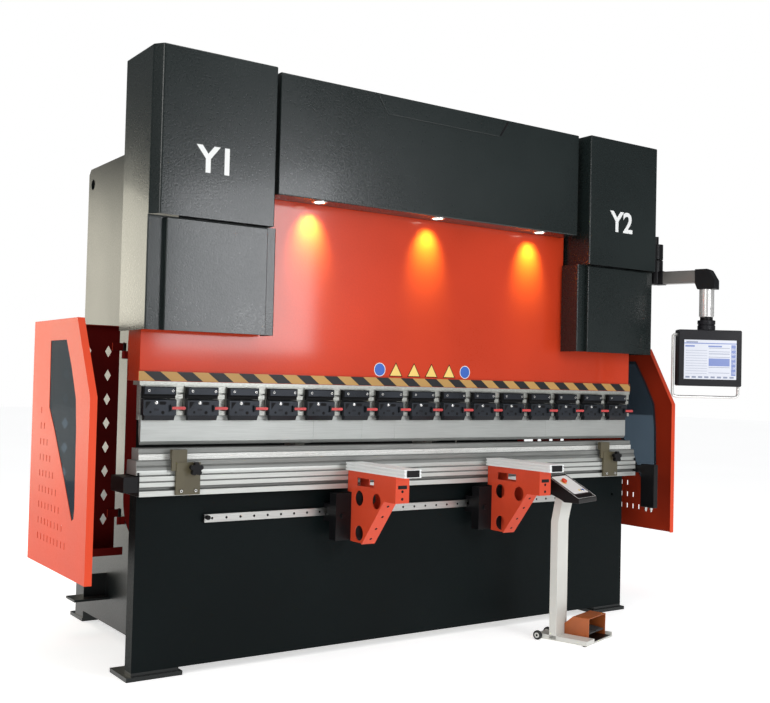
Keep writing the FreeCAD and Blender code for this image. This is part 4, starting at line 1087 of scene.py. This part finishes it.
class ElectricCabinet(PieceMaker):
    """Cabinet, with the door, lock, hinges and air slots on its outer side"""

    bl_idname = "press_brake.electric_cabinet"
    bl_label = "Electric cabinet"

    def make(self, sizes, tints):
        dressed("electric_cabinet", "electric_cabinet_body", "root", ["cabinet_paint"],
                "cabinet_paint", 3.0)
        _, face, y0, y1, z0, z1 = span("electric_cabinet")
        door = Bench()
        door.slab(face - 1, face + 14, y0 + 16, y1 - 16, z0 + 18, z1 - 18, 6, "x", 0)
        for z in (z0 + 90, z1 - 90):
            door.turn((face + 9, y1 - 13, z - 30), UPWARD, [(6, 0), (6, 60)], 1, 16)
        door.slab(face + 13, face + 24, y0 + 44, y0 + 70, z0 + 300, z0 + 400, 6, "x", 1)
        # Air slots: flat strips of painted shade.
        for row in range(8):
            z = z0 + 90 + 18 * row
            door.slab(face + 13.5, face + 14.5, y0 + 140, y1 - 140, z, z + 7, 3, "x", 2)
        door.finish("electric_cabinet_door", "root", ["cabinet_paint", "black_casting",
                    "painted_shade_and_black"], "cabinet_paint", bevel=1.5)


class RearGuard(PieceMaker):
    """Rear guard's leaves with their grips, air slots and the strip over the slit"""

    bl_idname = "press_brake.rear_guard"
    bl_label = "Rear guard"

    def make(self, sizes, tints):
        dressed("rear_guard", "rear_guard_leaves", "root", ["frame_paint"], "frame_paint", 0.8)
        _, _, _, back, low, top = span("rear_guard")
        mid, strip_half, grip_out = (low + top) / 2, 9.0, back + 26
        trim = Bench()
        for x in (-60.0, 60.0):
            trim.pipe([(x, back - 1, mid - 80), (x, grip_out, mid - 74), (x, grip_out, mid + 74),
                       (x, back - 1, mid + 80)], 6, 0, 12)
        trim.block(-strip_half, strip_half, back - 0.3, back + 1.2, low, top, 1)
        # Air slots: flat patches of painted shade.
        for sign in SIDES.values():
            for k in range(4):
                x = sign * (420.0 + 140 * k)
                for row in range(6):
                    z = low + 180 + 60 * row
                    trim.slab(x - 45, x + 45, back - 0.2, back + 0.4, z, z + 14, 6, finish=1)
        trim.finish("rear_guard_trim", "root", ["screw_steel", "painted_shade_and_black"], "frame_paint")


# ------------------------------------------------------------------ pendant

class Pendant(PieceMaker):
    """Mount, swinging arm, elbow and tube"""

    bl_idname = "press_brake.pendant"
    bl_label = "Pendant arm"

    def make(self, sizes, tints):
        dressed("pendant_mount", "pendant_mount_casting", "root", ["black_casting"],
                "black_casting", 2.0)
        px, py, _ = pivot("pendant_swing")
        tx, ty, _ = pivot("panel_swivel")
        reach = math.hypot(tx - px, ty - py)
        angle = math.atan2(ty - py, tx - px)
        top, low, elbow_low, tube_low, collar_low = 2126.0, 2046.0, 2005.0, 1834.0, 1815.8
        hub = span("pendant_arm")[5] - low
        spot = Matrix.Translation((px, py, 0)) @ Matrix.Rotation(angle, 4, "Z")
        arm = Bench(spot)
        arm.turn((0, 0, low), UPWARD, [(40, 0), (46, 4), (46, hub - 4), (42, hub)], 1)
        arm.prism(rounded(-30, 30, low + 1, top - 1, 6), "x", 50, reach - 60, 0)
        arm.prism(rounded(-34, 34, low - 3, top + 3, 8), "x", 6, 62, 1)
        elbow = [(-62, top + 3), (14, top + 3), (26, top - 4), (62, top - 66), (62, elbow_low),
                 (-46, elbow_low), (-62, low - 3)]
        arm.prism([(reach + a, z) for a, z in elbow], "y", -42, 42, 1)
        arm.turn((reach, 0, tube_low), UPWARD, [(40, 0), (44, 3), (44, elbow_low - tube_low)], 2)
        arm.turn((reach, 0, collar_low), UPWARD, [(38, 0), (38, 19)], 1)
        arm.finish("pendant_arm_assembly", "pendant_arm",
                   ["arm_aluminium", "black_casting", "tube_silver"], "arm_aluminium",
                   ["pendant_arm"], 3.0, 3)


class ControlPanel(PieceMaker):
    """Screen unit with bezel, drawn screen layout and tubular handle"""

    bl_idname = "press_brake.control_panel"
    bl_label = "Control panel"

    def make(self, sizes, tints):
        tx, ty, _ = pivot("panel_swivel")
        turn = math.radians(-35.0)
        spot = Matrix.Translation((tx, ty, 0)) @ Matrix.Rotation(turn, 4, "Z")
        width, depth, top, height, offset = 386.0, 78.0, 1756.0, 343.0, 15.0
        x0 = offset - width / 2
        x1 = x0 + width
        z0 = top - height
        front = -depth / 2
        case = Bench(spot)
        case.slab(x0, x1, front + 6, -front, z0, top, 10)
        case.slab(x0 + 4, x1 - 4, front, front + 7, z0 + 4, top - 4, 12)
        case.turn((0, 0, top), UPWARD, [(50, 0), (53, 3), (53, 26), (49, 29), (49, 33),
                  (53, 36), (53, 56), (50, 59)])
        for k in range(7):
            rib = z0 + 60 + 12 * k
            case.block(x0 + 60, x1 - 60, -front, -front + 1.5, rib, rib + 5)
        case.finish("control_panel_case", "control_panel", ["panel_plastic"], "panel_plastic",
                    ["control_panel"], 3.0, 3)
        handle, bar_radius, bar_y = Bench(spot), 9.0, 6.0
        left, right, foot = x0 - 22, x1 - 8, z0 - 66
        path = [(left + 26, top - 30), (left + 8, top - 30), (left, top - 40), (left, foot + 22),
                (left + 6, foot + 6), (left + 22, foot), (right - 22, foot), (right - 6, foot + 6),
                (right, foot + 22), (right, z0 + 3)]
        handle.pipe([(x, bar_y, z) for x, z in path], bar_radius)
        handle.finish("control_panel_handle", "control_panel", ["tube_silver"], "panel_plastic")
        self.make_screen(spot, x0 + 34, x1 - 34, front, z0 + 42, top - 62)

    def make_screen(self, spot, x0, x1, front, z0, z1):
        """Plain layout: header, lines on the left, fields on the right, key row below."""
        paper, blue, ink, dark = range(4)
        layout = Bench(spot)
        layout.slab(x0 - 3, x1 + 3, front - 0.6, front + 1, z0 - 3, z1 + 3, 2, "y", dark)
        layout.slab(x0, x1, front - 1.2, front, z0, z1, 1, "y", paper)
        wide, high = x1 - x0, z1 - z0

        def field(a, b, c, d, finish):
            """A raised field from parts a to b across and c to d up the screen."""
            layout.block(x0 + a * wide, x0 + b * wide, front - 1.5, front - 1.1, z0 + c * high,
                         z0 + d * high, finish)

        field(0.0, 1.0, 0.9, 0.925, blue)
        field(0.04, 0.26, 0.93, 0.96, ink)
        field(0.46, 0.72, 0.82, 0.86, blue)
        field(0.02, 0.2, 0.82, 0.86, blue)
        for k in range(10):
            field(0.03, 0.44, 0.14 + 0.065 * k, 0.147 + 0.065 * k, ink)
        field(0.48, 0.86, 0.66, 0.665, ink)
        for low, top, finish in ((0.70, 0.79, ink), (0.56, 0.64, ink), (0.34, 0.52, blue),
                                 (0.16, 0.3, ink)):
            field(0.47, 0.87, low, low + 0.012, finish)
            field(0.47, 0.87, top, top + 0.012, finish)
            if finish == blue:
                field(0.47, 0.87, low, top, finish)
        field(0.9, 0.985, 0.1, 0.88, blue)
        for k in range(6):
            field(0.905, 0.98, 0.14 + 0.12 * k, 0.2 + 0.12 * k, paper)
        for k in range(8):
            field(0.03 + 0.12 * k, 0.11 + 0.12 * k, 0.03, 0.075, ink)
        layout.finish("control_panel_screen", "control_panel",
                      ["screen_paper", "screen_blue", "screen_ink", "painted_shade_and_black"],
                      "panel_plastic")


# ------------------------------------------------------------------ pedestal

PEDESTAL_TURN = math.radians(18.0)


def pedestal_spot():
    """Placement of the pedestal's own axes, from its front left corner."""
    corner_from_axle = (-45, -292, -25)
    turn = Matrix.Rotation(PEDESTAL_TURN, 4, "Z")
    return Matrix.Translation(pivot("wheel_spin")) @ turn @ Matrix.Translation(corner_from_axle)


class Pedestal(PieceMaker):
    """Tray, column, wheels and console of the operator's pedestal"""

    bl_idname = "press_brake.pedestal"
    bl_label = "Pedestal"

    def make(self, sizes, tints):
        spot = pedestal_spot()
        wide, deep, low, top, column = 310.0, 298.0, 8.0, 34.0, 121.0
        axle = (deep - 6, 25)
        stand = Bench(spot)
        stand.slab(0, 92, 0, deep, low, top, 4, "z")
        stand.block(92, wide, 0, deep - 40, low, low + 8)
        stand.slab(wide - 6, wide, 0, deep - 40, low, top, 2, "z")
        for x, y in ((24, 24), (wide - 24, 24), (wide - 24, deep - 64)):
            stand.turn((x, y, 0), UPWARD, [(12, 0), (12, low)], 1)
        stand.prism([(185, low + 4), (228, low + 4), (228, 650), (200, 804.5), (188, 799.5),
                     (157, 787), (185, 650)], "x", 0, column)
        stand.block(98, wide - 10, 8, deep - 46, low + 8, low + 9.2, 1)
        stand.block(4, 88, deep - 1, deep + 6, low + 4, top)
        stand.turn((-24, *axle), SIDEWAYS, [(5, 0), (5, 142)], 1)
        stand.block(column + 3, 290, 188, 213, low + 8, 58, 1)
        stand.finish("pedestal_frame", "pedestal", ["pedestal_cream", "black_casting",
                     "screw_steel"], "pedestal_cream", ["pedestal_stand"], 2.2, 3)
        wheels = Bench(spot)
        for x in (-20.0, 96.0):
            wheels.turn((x, *axle), SIDEWAYS, [(14, 0), (22, 0), (25, 3), (25, 15), (22, 18),
                        (14, 18)], 0)
            wheels.turn((x, *axle), SIDEWAYS, [(5.4, -0.6), (14, -0.6), (15, 1), (15, 17),
                        (14, 18.6), (5.4, 18.6)], 1)
            wheels.turn((x, *axle), SIDEWAYS, [(6.5, -0.9), (6.5, 18.9)], 0, 20)
        wheels.finish("pedestal_wheel_pair", "pedestal_wheels", ["wheel_rubber",
                      "pedestal_cream"], "wheel_rubber", ["pedestal_wheels"])
        self.make_console(spot)

    def make_console(self, spot):
        """Wedge box, the keypad sheet on its sloping face and the emergency button."""
        low_y, high_y, low_z, high_z = 32.0, 230.0, 792.0, 905.0
        x0, x1 = -62.0, 152.0
        box = Bench(spot)
        side = [(high_y, high_z), (low_y, low_z), (low_y, 768), (120, 768), (138, 780),
                (188, 800), (high_y, 818)]
        box.prism(side, "x", x0, x1)
        box.finish("console_box", "pedestal", ["console_black"], "console_black",
                   ["pedestal_console"], 3.0, 3)
        rise, depth = high_z - low_z, high_y - low_y
        tilt, run = math.atan2(rise, depth), math.hypot(rise, depth)
        lean = spot @ Matrix.Translation((0, low_y, low_z)) @ Matrix.Rotation(tilt, 4, "X")
        sheet = Bench(lean)
        sheet.slab(x0 + 26, x1 - 20, 46, run - 20, 0, 1.0, 8, "z", 0)
        rim = [(x0 + 5, 6), (x1 - 5, 6), (x1 - 5, run - 5), (x0 + 5, run - 5), (x0 + 5, 6)]
        sheet.pipe([(x, y, 0.6) for x, y in rim], 1.3, 1, 8)
        sheet.slab(x0 + 20, x1 - 20, 14, 32, 0, 0.8, 3, "z", 4)
        sheet.turn((14, 153.1, 1.0), UPWARD, [(20, 0), (20, 0.8), (17, 0.9)], 2)
        for x, finish in ((60, 2), (82, 1), (104, 3)):
            sheet.turn((x, 70, 1.0), UPWARD, [(7, 0), (7, 2.2), (5, 3), (0, 3.2)], finish)
        sheet.finish("console_keypad", "pedestal", ["keypad_white", "screw_steel",
                     "sticker_yellow", "sticker_blue", "painted_shade_and_black"], "console_black")
        button_y = 165.0
        base = Vector((14, button_y, low_z + (button_y - low_y) * rise / depth))
        axis = Vector((0, -math.sin(tilt), math.cos(tilt)))
        button = Bench(spot)
        button.turn(base, axis, [(9, -2), (9, 7), (15.4, 7), (16, 9), (16, 15), (14, 18),
                    (8, 19)], 0)
        button.finish("emergency_button_head", "emergency_button", ["stop_red"], "stop_red",
                      ["emergency_button"], 0.5)


class FootSwitch(PieceMaker):
    """Hood and the two ribbed pedals"""

    bl_idname = "press_brake.foot_switch"
    bl_label = "Foot switch"

    def make(self, sizes, tints):
        # Painted shade: the hood's downward faces are near-black.
        def underside_shade(centre, normal):
            return 1 if normal.z < -0.3 else 0

        pedal_front, pedal_z, pedal_rise = 44.0, 52.0, 14 / 126
        dressed("foot_guard", "foot_hood", "pedestal", ["foot_orange", "painted_shade_and_black"],
                "foot_orange", 1.6, underside_shade, 3)
        spot = pedestal_spot()
        for side, x0 in (("left", 108.0), ("right", 202.0)):
            node = "foot_pedal_" + side
            pedal = Bench.of(node)
            pedal.spot = spot
            for k in range(9):
                y = 50.0 + 12 * k
                z = pedal_z + (y - pedal_front) * pedal_rise
                pedal.block(x0 + 6, x0 + 78, y, y + 4, z - 0.5, z + 1.6)
            pedal.finish(node + "_plate", node, ["pedal_grey"], "pedal_grey", [node], 0.8)


# ------------------------------------------------------------------ stage

class Stage(PieceMaker):
    """Pale floor, soft lights and the camera"""

    bl_idname = "press_brake.stage"
    bl_label = "Stage"

    def make(self, sizes, tints):
        scene = bpy.context.scene
        scene.view_settings.view_transform = "Standard"
        painted("floor_pale", (0.92, 0.92, 0.91), 0.985, (0.6, 0.75), 30.0, 0.4, 0.0002, 0.0,
                Specular_IOR_Level=0.1, Emission_Color=(1, 1, 1, 1), Emission_Strength=0.54)
        half = 40.0
        mesh = bpy.data.meshes.new("floor")
        mesh.from_pydata([(-half, -half, 0), (half, -half, 0), (half, half, 0),
                          (-half, half, 0)], [], [(0, 1, 2, 3)])
        mesh.materials.append(FINISHES["floor_pale"])
        floor = bpy.data.objects.new("floor", mesh)
        scene.collection.objects.link(floor)
        self.make_sky(scene)
        self.make_lights(scene)
        self.make_camera(scene)

    def make_sky(self, scene):
        """White behind the machine, dimmer for the light it casts and for reflections."""
        world = bpy.data.worlds.new("Studio")
        scene.world = world
        world.use_nodes = True
        tree = world.node_tree
        cast = tree.nodes["Background"]
        feed(tree, cast, {"Color": (0.97, 0.98, 1.0, 1), "Strength": 0.52})
        seen = put(tree, "ShaderNodeBackground", {"Color": (1, 1, 1, 1), "Strength": 1.0})
        mirrored = put(tree, "ShaderNodeBackground", {"Color": (0.93, 0.96, 1.0, 1),
                                                      "Strength": 0.12})
        path = put(tree, "ShaderNodeLightPath").outputs
        mix = put(tree, "ShaderNodeMixShader", {0: path["Is Glossy Ray"], 1: cast.outputs[0],
                                                2: mirrored.outputs[0]})
        mix = put(tree, "ShaderNodeMixShader", {0: path["Is Camera Ray"], 1: mix.outputs[0],
                                                2: seen.outputs[0]})
        feed(tree, tree.nodes["World Output"], {"Surface": mix.outputs[0]})

    def make_lights(self, scene):
        softboxes = (
            ("key_softbox", (1.15, -5.4, 2.5), (-1.3, -1.0, 2.0), (1.5, 1.7), 70.0,
             (0.96, 0.97, 1.0)),
            ("left_softbox", (-6.2, -4.0, 3.6), (-1.0, -0.6, 1.2), (2.8, 2.4), 85.0,
             (1.0, 0.98, 0.95)),
            ("back_left_panel", (-3.6, 5.5, 1.85), (-1.4, 0.2, 1.85), (4.0, 3.1), 140.0,
             (1.0, 0.95, 0.78)),
            ("top_softbox", (-0.5, -1.5, 6.8), (0.0, -0.8, 1.0), (5.0, 4.0), 110.0,
             (1.0, 1.0, 1.0)))
        for name, place, target, size, power, colour in softboxes:
            data = bpy.data.lights.new(name, "AREA")
            data.shape = "RECTANGLE"
            data.size, data.size_y = size
            self.hang(scene, data, power, colour, place, Vector(target) - Vector(place))
        under = (span("beam_cover")[4] - 9.0) * MM
        for i in (-1, 0, 1):
            data = bpy.data.lights.new("downlight_glow", "SPOT")
            data.spot_size = math.radians(72)
            data.spot_blend = 1.0
            data.shadow_soft_size = 0.03
            place = (i * LAMP_PITCH * MM, (LAMP_Y + BEND_Y) * MM, under)
            self.hang(scene, data, 42.0, (0.62, 1.0, 0.14), place, Vector((0, 0.095, -0.125)))

    def hang(self, scene, data, power, colour, place, aim):
        """Puts a light at its place and points it along aim."""
        data.energy = power
        data.color = colour
        lamp = bpy.data.objects.new(data.name, data)
        lamp.location = place
        lamp.rotation_euler = aim.to_track_quat("-Z", "Y").to_euler()
        scene.collection.objects.link(lamp)

    def make_camera(self, scene):
        data = bpy.data.cameras.new("camera")
        data.sensor_width = 36.0
        data.lens = 48.95
        camera = bpy.data.objects.new("camera", data)
        eye = (-3.4130, -5.3727, 1.3861)
        yaw, pitch, roll = 0.605, 0.030, 0.024
        ahead = Vector((math.sin(yaw) * math.cos(pitch), math.cos(yaw) * math.cos(pitch),
                        math.sin(pitch)))
        right = Vector((math.cos(yaw), -math.sin(yaw), 0))
        up = right.cross(ahead)
        side = right * math.cos(roll) + up * math.sin(roll)
        rise = up * math.cos(roll) - right * math.sin(roll)
        turn = Matrix((side, rise, -ahead)).transposed().to_4x4()
        camera.matrix_world = Matrix.Translation(eye) @ turn
        scene.collection.objects.link(camera)
        scene.camera = camera


# ------------------------------------------------------------------ panel and registration

MAKERS = (FramePlates, BedRail, Table, EndStops, Ram, Tooling, CylinderCovers, BeamCover,
          AxisMarks, SideGuards, SheetSupports, BackGauge, Cylinders, HydraulicUnit,
          ElectricCabinet, RearGuard, Pendant, ControlPanel, Pedestal, FootSwitch, Stage)


class PressBrakePanel(Panel):
    """Lists the settings and the piece operators"""

    bl_idname = "VIEW3D_PT_press_brake"
    bl_label = "Press Brake"
    bl_space_type = "VIEW_3D"
    bl_region_type = "UI"
    bl_category = "Press Brake"

    def draw(self, context):
        for group in (context.scene.press_brake_sizes, context.scene.press_brake_tints):
            box = self.layout.box()
            for key in group.__annotations__:
                box.prop(group, key)
        for maker in MAKERS:
            self.layout.operator(maker.bl_idname)


CLASSES = (PressBrakeSizes, PressBrakeTints, *MAKERS, PressBrakePanel)


def register():
    for item in CLASSES:
        bpy.utils.register_class(item)
    bpy.types.Scene.press_brake_sizes = PointerProperty(type=PressBrakeSizes)
    bpy.types.Scene.press_brake_tints = PointerProperty(type=PressBrakeTints)


def unregister():
    del bpy.types.Scene.press_brake_tints
    del bpy.types.Scene.press_brake_sizes
    for item in reversed(CLASSES):
        bpy.utils.unregister_class(item)


def main():
    register()
    sizes, tints = settings()
    build_effects()
    build_finishes(tints, sizes)
    for maker in MAKERS:
        family, action = maker.bl_idname.split(".")
        getattr(getattr(bpy.ops, family), action)()


if __name__ == "__main__":
    main()
